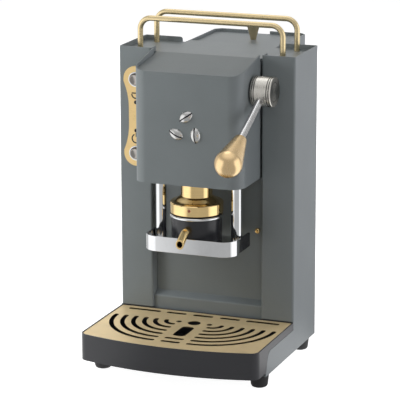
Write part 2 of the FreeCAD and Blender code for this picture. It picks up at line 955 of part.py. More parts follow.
def shaft_frame():
    """A plate on a foot, with a long window and a round seat for a bush."""
    outside = frame_half_gap + frame_thickness
    frame = block((frame_half_gap, outside), (frame_front, frame_back), (shelf_top, frame_top))
    foot = block((frame_half_gap - frame_foot_width, outside), (frame_back - frame_foot_length, frame_back),
                 (shelf_top, shelf_top + frame_foot_thickness))
    window = slot(frame_window_length, frame_window_width, frame_thickness + 2 * over, V(0, 0, 0))
    window.rotate(V(0, 0, 0), V(0, 1, 0), 90)
    window_z = shelf_top + frame_window_rise + frame_window_length / 2
    window.translate(V(frame_half_gap - over, (frame_front + frame_back) / 2, window_z))
    bush = shaft_diameter + 2 * running_clearance + 2 * bush_wall
    seat = rod(bush, V(frame_half_gap - over, lever_y, lever_z), V(outside + over, lever_y, lever_z))
    return fused([frame, foot]).cut(window).cut(seat)


frame_right = shaft_frame()
save(frame_right, "shaft_frame_right")
save(mirrored(frame_right), "shaft_frame_left")


def shaft_bushes():
    bore = shaft_diameter / 2 + running_clearance
    outer = bore + bush_wall
    flange = outer + bush_flange_width
    end = frame_thickness + bush_stand
    ring = [(bore, -bush_flange_thickness), (flange, -bush_flange_thickness), (flange, 0)]
    ring += [(outer, 0), (outer, end), (bore, end)]
    bushes = []
    for direction in (-1, 1):
        bushes.append(turned(ring, V(direction * frame_half_gap, lever_y, lever_z), V(direction, 0, 0)))
    return Part.makeCompound(bushes)


save(shaft_bushes(), "shaft_bushes")


def neck_guide():
    bore = neck_diameter / 2 + running_clearance
    outer = bore + guide_wall
    flange = outer + guide_flange
    flange_top = shelf_top + guide_flange_thickness
    top = shelf_bottom + guide_height
    profile = [(bore, shelf_bottom), (outer, shelf_bottom), (outer, shelf_top), (flange, shelf_top)]
    profile += [(flange, flange_top), (outer, flange_top), (outer, top), (bore, top)]
    return turned(profile, V(0, group_y, 0), V(0, 0, 1))


save(neck_guide(), "neck_guide")


# Piston: brass head with its set screw, gasket and screen, then the stem and yoke
gasket_groove_top = ring_bottom + gasket_seat
set_screw_z = ring_top - set_screw_drop
set_screw_angle = math.radians(set_screw_turn)
set_screw_way = V(math.sin(set_screw_angle), -math.cos(set_screw_angle), 0)
set_screw_face = V(0, group_y, set_screw_z) + set_screw_way * (ring_diameter / 2 - set_screw_sink)


def group_head():
    """A chamfered ring with a narrow land, a flat cone and a straight neck."""
    ring = ring_diameter / 2
    land = ring - ring_land
    neck = neck_diameter / 2
    root = neck + neck_root
    screen_top = ring_bottom + screen_recess + screen_thickness
    profile = [
        (0, screen_top),
        (gasket_bore / 2, screen_top),
        (gasket_bore / 2, gasket_groove_top),
        (gasket_diameter / 2, gasket_groove_top),
        (gasket_diameter / 2, ring_bottom),
        (ring - ring_chamfer, ring_bottom),
        (ring, ring_bottom + ring_chamfer),
        (ring, ring_top - ring_chamfer),
        (ring - ring_chamfer, ring_top),
        (land, ring_top),
        (land - cone_foot, ring_top + cone_foot_rise),
        (root + cone_lip, cone_top - cone_lip_drop),
        (root, cone_top),
        (neck, cone_top + neck_root),
        (neck, neck_top),
        (0, neck_top),
    ]
    head = turned(profile, V(0, group_y, 0), V(0, 0, 1))
    reach = set_screw_way * set_screw_length
    return head.cut(rod(set_screw_diameter, set_screw_face + reach, set_screw_face - reach))


def set_screw():
    """A headless screw with a round key socket, sunk into the front of the ring."""
    body = rod(set_screw_diameter, set_screw_face, set_screw_face - set_screw_way * set_screw_length)
    key_end = set_screw_face - set_screw_way * set_screw_key_depth
    return body.cut(rod(set_screw_key, set_screw_face + set_screw_way * over, key_end))


save(group_head(), "group_head")
save(set_screw(), "set_screw")

gasket_profile = [
    (gasket_bore / 2, ring_bottom - gasket_stand),
    (gasket_diameter / 2, ring_bottom - gasket_stand),
    (gasket_diameter / 2, gasket_groove_top),
    (gasket_bore / 2, gasket_groove_top),
]
save(turned(gasket_profile, V(0, group_y, 0), V(0, 0, 1)), "head_gasket")


def perforated(disc, hole_diameter, pitch):
    """Two rings of holes through a disc that lies under the neck."""
    box = disc.BoundBox
    for ring_number in (1, 2):
        count = 6 * ring_number
        for i in range(count):
            angle = 2 * math.pi * i / count
            x = pitch * ring_number * math.cos(angle)
            y = group_y + pitch * ring_number * math.sin(angle)
            disc = disc.cut(rod(hole_diameter, V(x, y, box.ZMin - over), V(x, y, box.ZMax + over)))
    return disc


def shower_screen():
    radius = gasket_bore / 2 - sheet_gap
    bottom = ring_bottom + screen_recess
    disc = Part.makeCylinder(radius, screen_thickness, V(0, group_y, bottom))
    return perforated(disc, screen_hole_diameter, screen_hole_pitch)


save(shower_screen(), "shower_screen")


def piston_yoke():
    half = yoke_width / 2
    slot_half_height = crank_pin_diameter / 2 + yoke_clearance
    slot_front = crank_reach_y - crank_pin_diameter / 2 - yoke_clearance
    slot_back = crank_pin_y + crank_pin_diameter / 2 + yoke_clearance
    slot_z = (crank_pin_z - slot_half_height, crank_pin_z + slot_half_height)
    body = block((-half, half), (slot_front - yoke_wall, slot_back + yoke_wall),
                 (slot_z[0] - yoke_wall, slot_z[1] + yoke_wall))
    opening = block((-half - over, half + over), (slot_front, slot_back), slot_z)
    stem = rod(stem_diameter, V(0, group_y, neck_top), V(0, group_y, slot_z[0] - over))
    return fused([body, stem]).cut(opening)


save(piston_yoke(), "piston_yoke")


# Lever: crank shaft, grooved hub, rod and handle
def lever_shaft():
    web_inner = yoke_width / 2 + crank_web_gap
    web_outer = web_inner + crank_web_thickness
    left_end = -(frame_half_gap + frame_thickness + shaft_end_stand)
    right_end = hub_end - hub_cap
    web_diameter = shaft_diameter + 2 * crank_web_rim

    def journal(diameter, x, y, z):
        return rod(diameter, V(x[0], y, z), V(x[1], y, z))

    pieces = [
        journal(shaft_diameter, (left_end, -web_inner), lever_y, lever_z),
        journal(shaft_diameter, (web_inner, right_end), lever_y, lever_z),
        journal(crank_pin_diameter, (-web_outer, web_outer), crank_pin_y, crank_pin_z),
    ]
    for x in ((-web_outer, -web_inner), (web_inner, web_outer)):
        pieces.append(journal(web_diameter, x, lever_y, lever_z))
        pieces.append(journal(web_diameter, x, crank_pin_y, crank_pin_z))
    return fused(pieces)


save(lever_shaft(), "lever_shaft")

lever_direction = V(0, -math.cos(math.radians(lever_droop)), -math.sin(math.radians(lever_droop)))
lever_centre = V(rod_x, lever_y, lever_z)


def lever_hub():
    """A turned drum with pairs of narrow grooves near both ends, keyed on the shaft."""
    radius = hub_diameter / 2
    low = radius - hub_groove_depth
    profile = [(shaft_diameter / 2, 0), (radius - hub_edge, 0), (radius, hub_edge)]
    starts = []
    for i in range(hub_groove_count):
        starts.append(hub_rim_width + i * (hub_groove_width + hub_ridge_width))
    for i in range(hub_groove_count):
        last = hub_groove_count - 1 - i
        starts.append(hub_length - starts[last] - hub_groove_width)
    for start in starts:
        end = start + hub_groove_width
        profile += [(radius, start), (low, start), (low, end), (radius, end)]
    profile += [(radius, hub_length - hub_edge), (radius - hub_edge, hub_length), (0, hub_length - hub_dish)]
    profile += [(0, hub_length - hub_cap), (shaft_diameter / 2, hub_length - hub_cap)]
    hub = turned(profile, V(hub_start, lever_y, lever_z), V(1, 0, 0))
    seat_start = lever_centre + lever_direction * rod_seat
    seat_end = lever_centre + lever_direction * hub_diameter
    return hub.cut(rod(rod_diameter, seat_start, seat_end))


save(lever_hub(), "lever_hub")

handle_start = lever_centre + lever_direction * (lever_reach - handle_length)
rod_start = lever_centre + lever_direction * rod_seat
save(rod(rod_diameter, rod_start, handle_start + lever_direction * handle_socket), "lever_rod")


def lever_handle():
    """A straight cone that runs tangent into a ball."""
    ball = ball_diameter / 2
    neck = handle_neck_diameter / 2
    slant = math.asin(ball / math.hypot(neck, handle_length)) - math.atan2(neck, handle_length)
    shoulder = V(ball * math.cos(slant), 0, handle_length - ball * math.sin(slant))
    hole = rod_diameter / 2
    edges = [
        Part.makeLine(V(hole, 0, 0), V(neck, 0, 0)),
        Part.makeLine(V(neck, 0, 0), shoulder),
        Part.Arc(shoulder, V(ball * math.sin(1), 0, handle_length + ball * math.cos(1)),
                 V(0, 0, handle_length + ball)).toShape(),
        Part.makeLine(V(0, 0, handle_length + ball), V(0, 0, handle_socket)),
        Part.makeLine(V(0, 0, handle_socket), V(hole, 0, handle_socket)),
        Part.makeLine(V(hole, 0, handle_socket), V(hole, 0, 0)),
    ]
    solid = Part.Face(Part.Wire(edges)).revolve(V(0, 0, 0), V(0, 0, 1), 360)
    solid.Placement = FreeCAD.Placement(handle_start, FreeCAD.Rotation(V(0, 0, 1), lever_direction))
    return solid


save(lever_handle(), "lever_handle")


# Columns with their nuts
for name, x in (("column_left", -column_x), ("column_right", column_x)):
    shank = rod(column_diameter, V(x, column_y, bracket_floor), V(x, column_y, shelf_bottom))
    stud_top = V(x, column_y, shelf_top + nut_height + nut_stand)
    stud_bottom = V(x, column_y, bracket_floor_bottom - nut_height - nut_stand)
    save(shank.fuse(rod(column_stud_diameter, stud_bottom, stud_top)), name)


def nut(spot):
    corner = nut_flats / math.sqrt(3)
    points = []
    for i in range(6):
        angle = math.pi / 3 * (i + 0.5)
        points.append(spot + V(corner * math.cos(angle), corner * math.sin(angle), 0))
    body = Part.Face(Part.makePolygon(points + points[:1])).extrude(V(0, 0, nut_height))
    return body.cut(rod(column_stud_diameter, spot - V(0, 0, over), spot + V(0, 0, nut_height + over)))


column_nuts = []
for x in (-column_x, column_x):
    column_nuts.append(nut(V(x, column_y, shelf_top)))
    column_nuts.append(nut(V(x, column_y, bracket_floor_bottom - nut_height)))
save(Part.makeCompound(column_nuts), "column_nuts")


# Pod bracket and polished band
band_end = bracket_front + bracket_corner + band_tail


def bracket_prism(inset, z):
    half = bracket_half_width - inset
    front = bracket_front + inset
    body = block((-half, half), (front, bracket_back), z)
    middle = (z[0] + z[1]) / 2
    return fillet_at(body, bracket_corner - inset, [V(-half, front, middle), V(half, front, middle)])


def bracket_band():
    path = [
        plan(-bracket_half_width, band_end),
        plan(-bracket_half_width, bracket_front),
        plan(bracket_half_width, bracket_front),
        plan(bracket_half_width, band_end),
    ]
    inner = bracket_corner - band_thickness
    band = bent_sheet(path, band_thickness, [inner] * 2, V(0, 0, bracket_height), V(0, 0, 1))
    band.translate(V(0, 0, bracket_bottom))
    corners = []
    for x in (band_thickness / 2 - bracket_half_width, bracket_half_width - band_thickness / 2):
        corners += [V(x, band_end, bracket_bottom), V(x, band_end, bracket_top)]
    return fillet_at(band, band_end_corner, corners)


def pod_bracket():
    """A channel with its floor at half height, open at the back, with the band let into its front."""
    top = bracket_top - bracket_step
    bottom = bracket_bottom + bracket_step
    through = (bracket_bottom - over, top + over)
    wall = band_thickness + bracket_wall
    rear_opening = block(about(0, 2 * (bracket_half_width - wall)),
                         (bracket_back - bracket_corner, bracket_back + over), through)
    floor_zone = block(about(0, 2 * bracket_half_width), (bracket_front, bracket_back),
                       (bracket_floor_bottom, bracket_floor))
    inside = fused([bracket_prism(wall, through), rear_opening]).cut(floor_zone)
    body = bracket_prism(0, (bottom, top)).cut(inside)
    band_y = (bracket_front - over, band_end + sheet_gap)
    band_zone = block(about(0, 2 * (bracket_half_width + over)), band_y, through)
    core = bracket_prism(band_thickness, (through[0] - over, through[1] + over))
    body = body.cut(band_zone.cut(core))
    holes = [
        (holder_spigot_diameter, 0, group_y),
        (column_stud_diameter, -column_x, column_y),
        (column_stud_diameter, column_x, column_y),
    ]
    for diameter, x, y in holes:
        body = body.cut(rod(diameter, V(x, y, through[0]), V(x, y, through[1])))
    return body


save(bracket_band(), "bracket_band")
save(pod_bracket(), "pod_bracket")


# Pod holder with its rim, filter and spout
def pod_holder():
    radius = holder_diameter / 2
    seat_radius = rim_bore / 2
    seat_bottom = holder_top - seat_depth
    funnel_bottom = seat_bottom - funnel_depth
    profile = [
        (0, holder_bottom),
        (holder_spigot_diameter / 2, holder_bottom),
        (holder_spigot_diameter / 2, bracket_floor),
        (radius, bracket_floor),
        (radius, holder_top),
        (seat_radius, holder_top),
        (seat_radius, seat_bottom),
        (seat_radius - seat_land, seat_bottom),
        (funnel_bore / 2, funnel_bottom),
        (0, funnel_bottom),
    ]
    cup = turned(profile, V(0, group_y, 0), V(0, 0, 1))
    root = V(0, group_y - radius + spout_root, spout_z)
    cup = cup.cut(rod(spout_diameter, root, root - V(0, holder_diameter, 0)))
    return cup.cut(rod(spout_bore, root + V(0, over, 0), V(0, group_y, spout_z)))


save(pod_holder(), "pod_holder")

rim_profile = [
    (rim_bore / 2, holder_top),
    (rim_diameter / 2 - rim_edge, holder_top),
    (rim_diameter / 2, holder_top + rim_edge),
    (rim_diameter / 2, rim_top - rim_edge),
    (rim_diameter / 2 - rim_edge, rim_top),
    (rim_bore / 2, rim_top),
]
save(turned(rim_profile, V(0, group_y, 0), V(0, 0, 1)), "holder_rim")


def pod_filter():
    radius = rim_bore / 2 - sheet_gap
    bottom = holder_top - seat_depth
    disc = Part.makeCylinder(radius, filter_thickness, V(0, group_y, bottom))
    return perforated(disc, filter_hole_diameter, filter_hole_pitch)


save(pod_filter(), "pod_filter")


def spout():
    """An open tube that leaves the holder level, dips, and ends in an open beak."""
    start = V(0, group_y - holder_diameter / 2 + spout_root, spout_z)
    knee = start + V(0, -spout_root - spout_level, 0)
    outlet = start + V(0, -spout_root - spout_reach, -spout_drop)
    overrun = outlet + (outlet - knee).normalize() * spout_diameter
    edges = rounded_chain([start, knee, overrun], [spout_bend])
    wire = Part.Wire(edges)
    tubes = []
    for diameter in (spout_diameter, spout_bore):
        section = Part.Wire(Part.makeCircle(diameter / 2, start, knee - start))
        tubes.append(wire.makePipeShell([section], True, True))
    beyond = block((-spout_diameter, spout_diameter), (outlet.y - 2 * spout_diameter, outlet.y),
                   (outlet.z - 2 * spout_diameter, outlet.z + spout_diameter))
    return tubes[0].cut(tubes[1]).cut(beyond)


save(spout(), "spout")


# Control plate, bezels, buttons, switches and indicator lenses
def control_plate():
    """Two round lobes joined by a waist that is tangent to both."""
    front = -control_thickness
    lobes = []
    for z in (lower_button_z, upper_button_z):
        lobes.append(rod(2 * control_lobe_radius, V(control_x, front, z), V(control_x, 0, z)))
    half_neck = control_neck_width / 2
    centre_offset = control_fillet + half_neck
    rise = math.sqrt((control_lobe_radius + control_fillet) ** 2 - centre_offset ** 2)
    waist = (lower_button_z + rise, upper_button_z - rise)
    neck = block(about(control_x, 2 * control_lobe_radius), (front, 0), (lower_button_z, upper_button_z))
    for direction in (-1, 1):
        x_pair = sorted((control_x + direction * half_neck, control_x + direction * centre_offset))
        neck = neck.cut(block(x_pair, (front - over, over), waist))
        for z in waist:
            x = control_x + direction * centre_offset
            neck = neck.cut(rod(2 * control_fillet, V(x, front - over, z), V(x, over, z)))
    plate = fused(lobes + [neck])
    holes = [(switch_diameter, lower_button_z), (switch_diameter, upper_button_z)]
    holes += [(lens_diameter, lower_lens_z), (lens_diameter, upper_lens_z)]
    for diameter, z in holes:
        plate = plate.cut(rod(diameter, V(control_x, front - over, z), V(control_x, over, z)))
    return plate


save(control_plate(), "control_plate")

bezels = []
switches = []
for z in (lower_button_z, upper_button_z):
    bezel_profile = [
        (bezel_bore / 2, 0),
        (bezel_diameter / 2, 0),
        (bezel_diameter / 2, bezel_height - bezel_edge),
        (bezel_diameter / 2 - bezel_edge, bezel_height),
        (bezel_bore / 2, bezel_height),
    ]
    bezels.append(turned(bezel_profile, V(control_x, -control_thickness, z), V(0, -1, 0)))
    pocket = button_length - button_stand + button_travel + button_end_gap
    switch_bore = switch_diameter / 2 - switch_wall
    switch_profile = [
        (0, -switch_depth),
        (switch_diameter / 2, -switch_depth),
        (switch_diameter / 2, 0),
        (switch_bore, 0),
        (switch_bore, -pocket),
        (0, -pocket),
    ]
    switches.append(turned(switch_profile, V(control_x, -control_thickness, z), V(0, -1, 0)))
save(Part.makeCompound(bezels), "button_bezels")
save(Part.makeCompound(switches), "button_switches")

for name, z in (("upper_button", upper_button_z), ("lower_button", lower_button_z)):
    button_profile = [
        (0, button_stand - button_length),
        (button_diameter / 2, button_stand - button_length),
        (button_diameter / 2, button_stand - button_edge),
        (button_diameter / 2 - button_edge, button_stand),
        (0, button_stand),
    ]
    save(turned(button_profile, V(control_x, -control_thickness, z), V(0, -1, 0)), name)

lenses = []
for z in (lower_lens_z, upper_lens_z):
    lens_profile = [
        (0, -control_thickness),
        (lens_diameter / 2, -control_thickness),
        (lens_diameter / 2, lens_rim),
        (lens_diameter / 4, lens_stand),
        (0, lens_stand),
    ]
    lenses.append(turned(lens_profile, V(control_x, -control_thickness, z), V(0, -1, 0)))
save(Part.makeCompound(lenses), "indicator_lenses")


# Drip tray
def tray_prism(inset, z, back):
    """The tray's plan: straight sides, rounded corners and a bowed front."""
    half = half_width - inset
    front = tray_front + inset
    radius = tray_front_radius - inset
    sag = radius - math.sqrt(radius ** 2 - half ** 2)
    left = V(-half, front + sag, z[0])
    right = V(half, front + sag, z[0])
    edges = [
        Part.Arc(left, V(0, front, z[0]), right).toShape(),
        Part.makeLine(right, V(half, back, z[0])),
        Part.makeLine(V(half, back, z[0]), V(-half, back, z[0])),
        Part.makeLine(V(-half, back, z[0]), left),
    ]
    body = Part.Face(Part.Wire(edges)).extrude(V(0, 0, z[1] - z[0]))
    rise = V(0, 0, (z[1] - z[0]) / 2)
    return fillet_at(body, tray_corner - inset, [left + rise, right + rise])


def drip_tray():
    """An open pan on two runners, with a ledge for the grille and a pocket for the cheek at each side."""
    skin = tray_prism(0, (tray_bottom, tray_top), tray_back)
    ledge_inset = grille_rim + grille_ledge
    inner_top = grille_bottom - grille_ledge_depth
    rim = tray_top + over
    seat = tray_prism(grille_rim, (grille_bottom - sheet_gap, rim), tray_back - grille_rim)
    mouth = tray_prism(ledge_inset, (inner_top - over, rim), tray_back - ledge_inset)
    basin = tray_prism(tray_wall, (tray_bottom + tray_floor, inner_top), tray_back - tray_wall)
    skin = skin.cut(seat).cut(mouth)
    pocket_start = wall_inside - tray_gap
    pocket = cheek_outline(tray_gap).extrude(V(half_width + over - pocket_start, 0, 0))
    pocket.translate(V(pocket_start, 0, 0))
    behind = block((pocket_start, half_width + over), (-tray_gap, tray_back + over), (cheek_top, rim))
    beside = block((pocket_start - tray_wall, half_width + over), (tray_front - over, tray_back + over),
                   (tray_bottom, tray_top))
    for zone in (pocket, behind):
        skin = skin.cut(zone).cut(mirrored(zone))
    pan = skin.cut(basin.cut(beside).cut(mirrored(beside)))
    runner = block(about(runner_offset, runner_width), (cheek_lean - cheek_reach, tray_back - runner_width),
                   (tray_bottom - runner_height, tray_bottom + tray_floor / 2))
    return fused([pan, runner, mirrored(runner)])


save(drip_tray(), "drip_tray")


def arc_slot(radius, direction):
    """A quarter ring with round ends and a short straight run towards the middle."""
    half = slot_width / 2
    floor = grille_bottom - over

    def spot(across, y):
        return V(direction * across, y, floor)

    def sweep(reach, angle):
        return spot(arc_centre_x + reach * math.cos(angle), arc_centre_y - reach * math.sin(angle))

    quarter = math.pi / 2
    outer = radius + half
    inner = radius - half
    tail = arc_centre_y - radius
    crown = spot(arc_centre_x + radius, arc_centre_y + half)
    tip = spot(arc_end_x - half, tail)
    tip_outer = spot(arc_end_x, tail - half)
    tip_inner = spot(arc_end_x, tail + half)
    edges = [
        Part.makeLine(tip_outer, sweep(outer, quarter)),
        Part.Arc(sweep(outer, quarter), sweep(outer, quarter / 2), sweep(outer, 0)).toShape(),
        Part.Arc(sweep(outer, 0), crown, sweep(inner, 0)).toShape(),
        Part.Arc(sweep(inner, 0), sweep(inner, quarter / 2), sweep(inner, quarter)).toShape(),
        Part.makeLine(sweep(inner, quarter), tip_inner),
        Part.Arc(tip_inner, tip, tip_outer).toShape(),
    ]
    return Part.Face(Part.Wire(edges)).extrude(V(0, 0, grille_thickness + 2 * over))


def grille():
    """A plate with mirrored nests of quarter rings, a row of dashes behind them and a cup mark."""
    margin = grille_rim + grille_seat_gap
    plate = tray_prism(margin, (grille_bottom, grille_top), tray_back - margin)
    floor = grille_bottom - over
    height = grille_thickness + 2 * over
    last_radius = half_width - arc_margin - arc_centre_x
    arc_pitch = (last_radius - arc_first_radius) / (arc_count - 1)
    cutters = []
    for i in range(arc_count):
        radius = arc_first_radius + arc_pitch * i
        cutters += [arc_slot(radius, -1), arc_slot(radius, 1)]
    for radius in (last_radius - arc_pitch, last_radius):
        cutters.append(slot(short_dash_length, slot_width, height, V(0, arc_centre_y - radius, floor)))
    outer_dash_x = half_width - dash_margin - dash_outer_length / 2
    inner_dash_x = outer_dash_x - dash_outer_length / 2 - dash_gap - dash_length / 2
    dashes = [(0, dash_length)]
    for direction in (-1, 1):
        dashes += [(direction * inner_dash_x, dash_length), (direction * outer_dash_x, dash_outer_length)]
    for x, length in dashes:
        cutters.append(slot(length, dash_width, height, V(x, dash_y, floor)))
    cutters.append(Part.makeCylinder(cup_hole_diameter / 2, height, V(0, arc_centre_y, floor)))
    for x in (-dot_x, dot_x):
        cutters.append(Part.makeCylinder(dot_diameter / 2, height, V(x, arc_centre_y, floor)))
    centre_x = about(0, centre_slot_width)
    centre_y = about(centre_slot_y, centre_slot_length)
    centre = block(centre_x, centre_y, (floor, floor + height))
    corners = []
    for x in centre_x:
        corners += [V(x, y, floor + height / 2) for y in centre_y]
    cutters.append(fillet_at(centre, centre_slot_corner, corners))
    return plate.cut(cutters)


save(grille(), "grille")


# Pump on rubber blocks
def pump():
    """A coil inside a square iron frame, with a thick outlet nose and a thin inlet tail."""
    middle = V(pump_x, pump_y, pump_z)
    half_length = V(pump_length / 2, 0, 0)
    frame_side = pump_diameter + 2 * pump_frame_wall
    pieces = [
        block(about(pump_x, pump_frame_length), about(pump_y, frame_side), about(pump_z, frame_side)),
        rod(pump_diameter, middle - half_length, middle + half_length),
        rod(pump_nose_diameter, middle, pump_nose),
        rod(pump_tail_diameter, pump_tail, middle),
    ]
    return fused(pieces)


save(pump(), "pump")

mount_blocks = []
for direction in (-1, 1):
    x = pump_x + direction * (pump_frame_length - pump_foot_width) / 2
    foot_z = (base_top, base_top + pump_foot_height)
    mount_blocks.append(block(about(x, pump_foot_width), about(pump_y, pump_foot_length), foot_z))
save(Part.makeCompound(mount_blocks), "pump_mounts")


# Boiler
boiler_height = plate_bottom - boiler_headroom - shelf_top
port_top = boiler_height + boiler_port_length
boiler_profile = [
    (0, 0),
    (boiler_radius + boiler_flange, 0),
    (boiler_radius + boiler_flange, boiler_flange),
    (boiler_radius, boiler_flange),
    (boiler_radius, boiler_height - boiler_shoulder),
    (boiler_radius - boiler_shoulder, boiler_height),
    (boiler_port_diameter / 2, boiler_height),
    (boiler_port_diameter / 2, port_top),
    (0, port_top),
]
boiler_foot = V(0, boiler_y, shelf_top)
save(turned(boiler_profile, boiler_foot, V(0, 0, 1)), "boiler")


# Tank valve and hoses
save(rod(valve_diameter, valve_centre, valve_centre + V(0, 0, valve_height)), "tank_valve")

suction_route = [
    valve_centre,
    valve_centre - V(0, 0, hose_drop),
    V(inlet_side + hose_side_gap, pump_y + hose_back_reach, pump_z + hose_lift),
    V(inlet_x + hose_tail_inset, pump_tail.y, pump_tail.z),
    pump_tail,
]
boiler_port = boiler_foot + V(0, 0, port_top)
loop_z = boiler_port.z + hose_loop_height
pressure_route = [
    pump_nose,
    V(riser_x, pump_y, pump_z),
    V(riser_x, pump_y, loop_z),
    V(0, boiler_y, loop_z),
    boiler_port,
]
save(Part.makeCompound([hose(suction_route, hose_bend), hose(pressure_route, hose_bend)]), "water_hoses")


# Control board on posts, with the larger parts that stand on it
def board():
    wall = -wall_inside
    back = wall + board_standoff
    face = back + board_thickness
    y = (return_depth + board_front_gap, casing_depth - board_back_gap)
    z = (shelf_bottom - board_drop - board_height, shelf_bottom - board_drop)
    pieces = [block((back, face), y, z)]
    for post_y in (y[0] + board_post_inset, y[1] - board_post_inset):
        for post_z in (z[0] + board_post_inset, z[1] - board_post_inset):
            pieces.append(rod(board_post_diameter, V(wall, post_y, post_z), V(back, post_y, post_z)))
    fuse_corner = V(face, y[0] + fuse_block_inset[0], z[0] + fuse_block_inset[1])
    pieces.append(Part.makeBox(*fuse_block, fuse_corner))
    transformer_y = y[1] - transformer_inset[0] - transformer[1]
    transformer_z = z[1] - transformer_inset[1] - transformer[2]
    pieces.append(Part.makeBox(*transformer, V(face, transformer_y, transformer_z)))
    foot = V(face, y[0] + capacitor_inset[0], z[0] + capacitor_inset[1])
    pieces.append(rod(capacitor_diameter, foot, foot + V(capacitor_height, 0, 0)))
    return fused(pieces)


save(board(), "control_board")


# Mains inlet socket
def mains_inlet():
    """A flanged socket with two bevelled corners and three flat pins."""
    back = casing_depth + inlet_flange_thickness
    floor = back - inlet_cavity_depth
    flange = block(about(inlet_x, inlet_flange[0]), (casing_depth, back), about(inlet_z, inlet_flange[1]))
    body = block(about(inlet_x, inlet_body[0]), (back - inlet_depth, back), about(inlet_z, inlet_body[1]))
    cavity_x = about(inlet_x, inlet_cavity[0])
    cavity_z = about(inlet_z, inlet_cavity[1])
    cavity = block(cavity_x, (floor, back + over), cavity_z)
    corners = [edge_at(cavity, V(cavity_x[0], (floor + back + over) / 2, z)) for z in cavity_z]
    shell = fused([flange, body]).cut(cavity.makeChamfer(inlet_cavity_corner, corners))
    pins = []
    pin_y = (floor - over, back - inlet_pin_sink)
    places = [
        (inlet_pin_offset, inlet_pin_spacing),
        (inlet_pin_offset, -inlet_pin_spacing),
        (-inlet_pin_offset, 0),
    ]
    for across, up in places:
        pins.append(block(about(inlet_x + across, inlet_pin[0]), pin_y, about(inlet_z + up, inlet_pin[1])))
    return fused([shell] + pins)


save(mains_inlet(), "mains_inlet")
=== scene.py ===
import bmesh
import bpy
import json
import math
from mathutils import Matrix, Vector


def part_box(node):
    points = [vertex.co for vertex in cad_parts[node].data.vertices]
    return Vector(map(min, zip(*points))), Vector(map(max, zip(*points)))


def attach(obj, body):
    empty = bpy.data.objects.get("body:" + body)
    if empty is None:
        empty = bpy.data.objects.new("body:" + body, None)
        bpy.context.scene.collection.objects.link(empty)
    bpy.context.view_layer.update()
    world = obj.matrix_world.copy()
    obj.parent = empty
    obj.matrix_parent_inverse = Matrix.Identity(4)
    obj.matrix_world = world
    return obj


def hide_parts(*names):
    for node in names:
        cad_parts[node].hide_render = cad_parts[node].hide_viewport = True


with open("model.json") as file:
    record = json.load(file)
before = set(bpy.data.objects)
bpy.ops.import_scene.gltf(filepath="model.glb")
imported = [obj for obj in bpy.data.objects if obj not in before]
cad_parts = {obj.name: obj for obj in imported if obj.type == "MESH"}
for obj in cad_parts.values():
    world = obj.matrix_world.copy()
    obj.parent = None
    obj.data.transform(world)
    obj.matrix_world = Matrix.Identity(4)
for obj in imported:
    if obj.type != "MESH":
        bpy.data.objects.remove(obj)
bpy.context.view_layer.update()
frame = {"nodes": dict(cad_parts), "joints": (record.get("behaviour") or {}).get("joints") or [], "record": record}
nodes = frame["nodes"]
joints = {joint["name"]: joint for joint in frame["joints"]}

# Lengths in this file are millimetres and become metres through this value
MM = 0.001
# Corners closer than this are one corner
MERGE = 0.002 * MM
TURN = 2 * math.pi
UP = Vector((0, 0, 1))
FORWARD = Vector((0, -1, 0))
RIGHT = Vector((1, 0, 0))


def middle(node):
    low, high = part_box(node)
    return (low + high) / 2


class Wiring:
    """Shader nodes added one by one to a tree."""

    def __init__(self, tree):
        self.tree = tree

    def add(self, kind, values=None, **settings):
        node = self.tree.nodes.new(kind)
        for name, value in settings.items():
            setattr(node, name, value)
        for name, value in (values or {}).items():
            if isinstance(value, bpy.types.NodeSocket):
                self.tree.links.new(value, node.inputs[name])
            else:
                node.inputs[name].default_value = value
        return node

    def ranged(self, value, low, high, start=0.3, end=0.7, **settings):
        """Goes from low to high while the value goes from start to end."""
        values = {"Value": value, "From Min": start, "From Max": end, "To Min": low, "To Max": high}
        return self.add("ShaderNodeMapRange", values, **settings).outputs["Result"]

    def stepped(self, value, low, high, start, end):
        """The same with soft ends."""
        return self.ranged(value, low, high, start, end, interpolation_type="SMOOTHSTEP")

    def vector(self, operation, *values):
        return self.add("ShaderNodeVectorMath", dict(enumerate(values)), operation=operation)

    def dot(self, first, second):
        return self.vector("DOT_PRODUCT", first, second).outputs["Value"]

    def larger(self, first, second):
        return self.add("ShaderNodeMath", {0: first, 1: second}, operation="MAXIMUM").outputs[0]


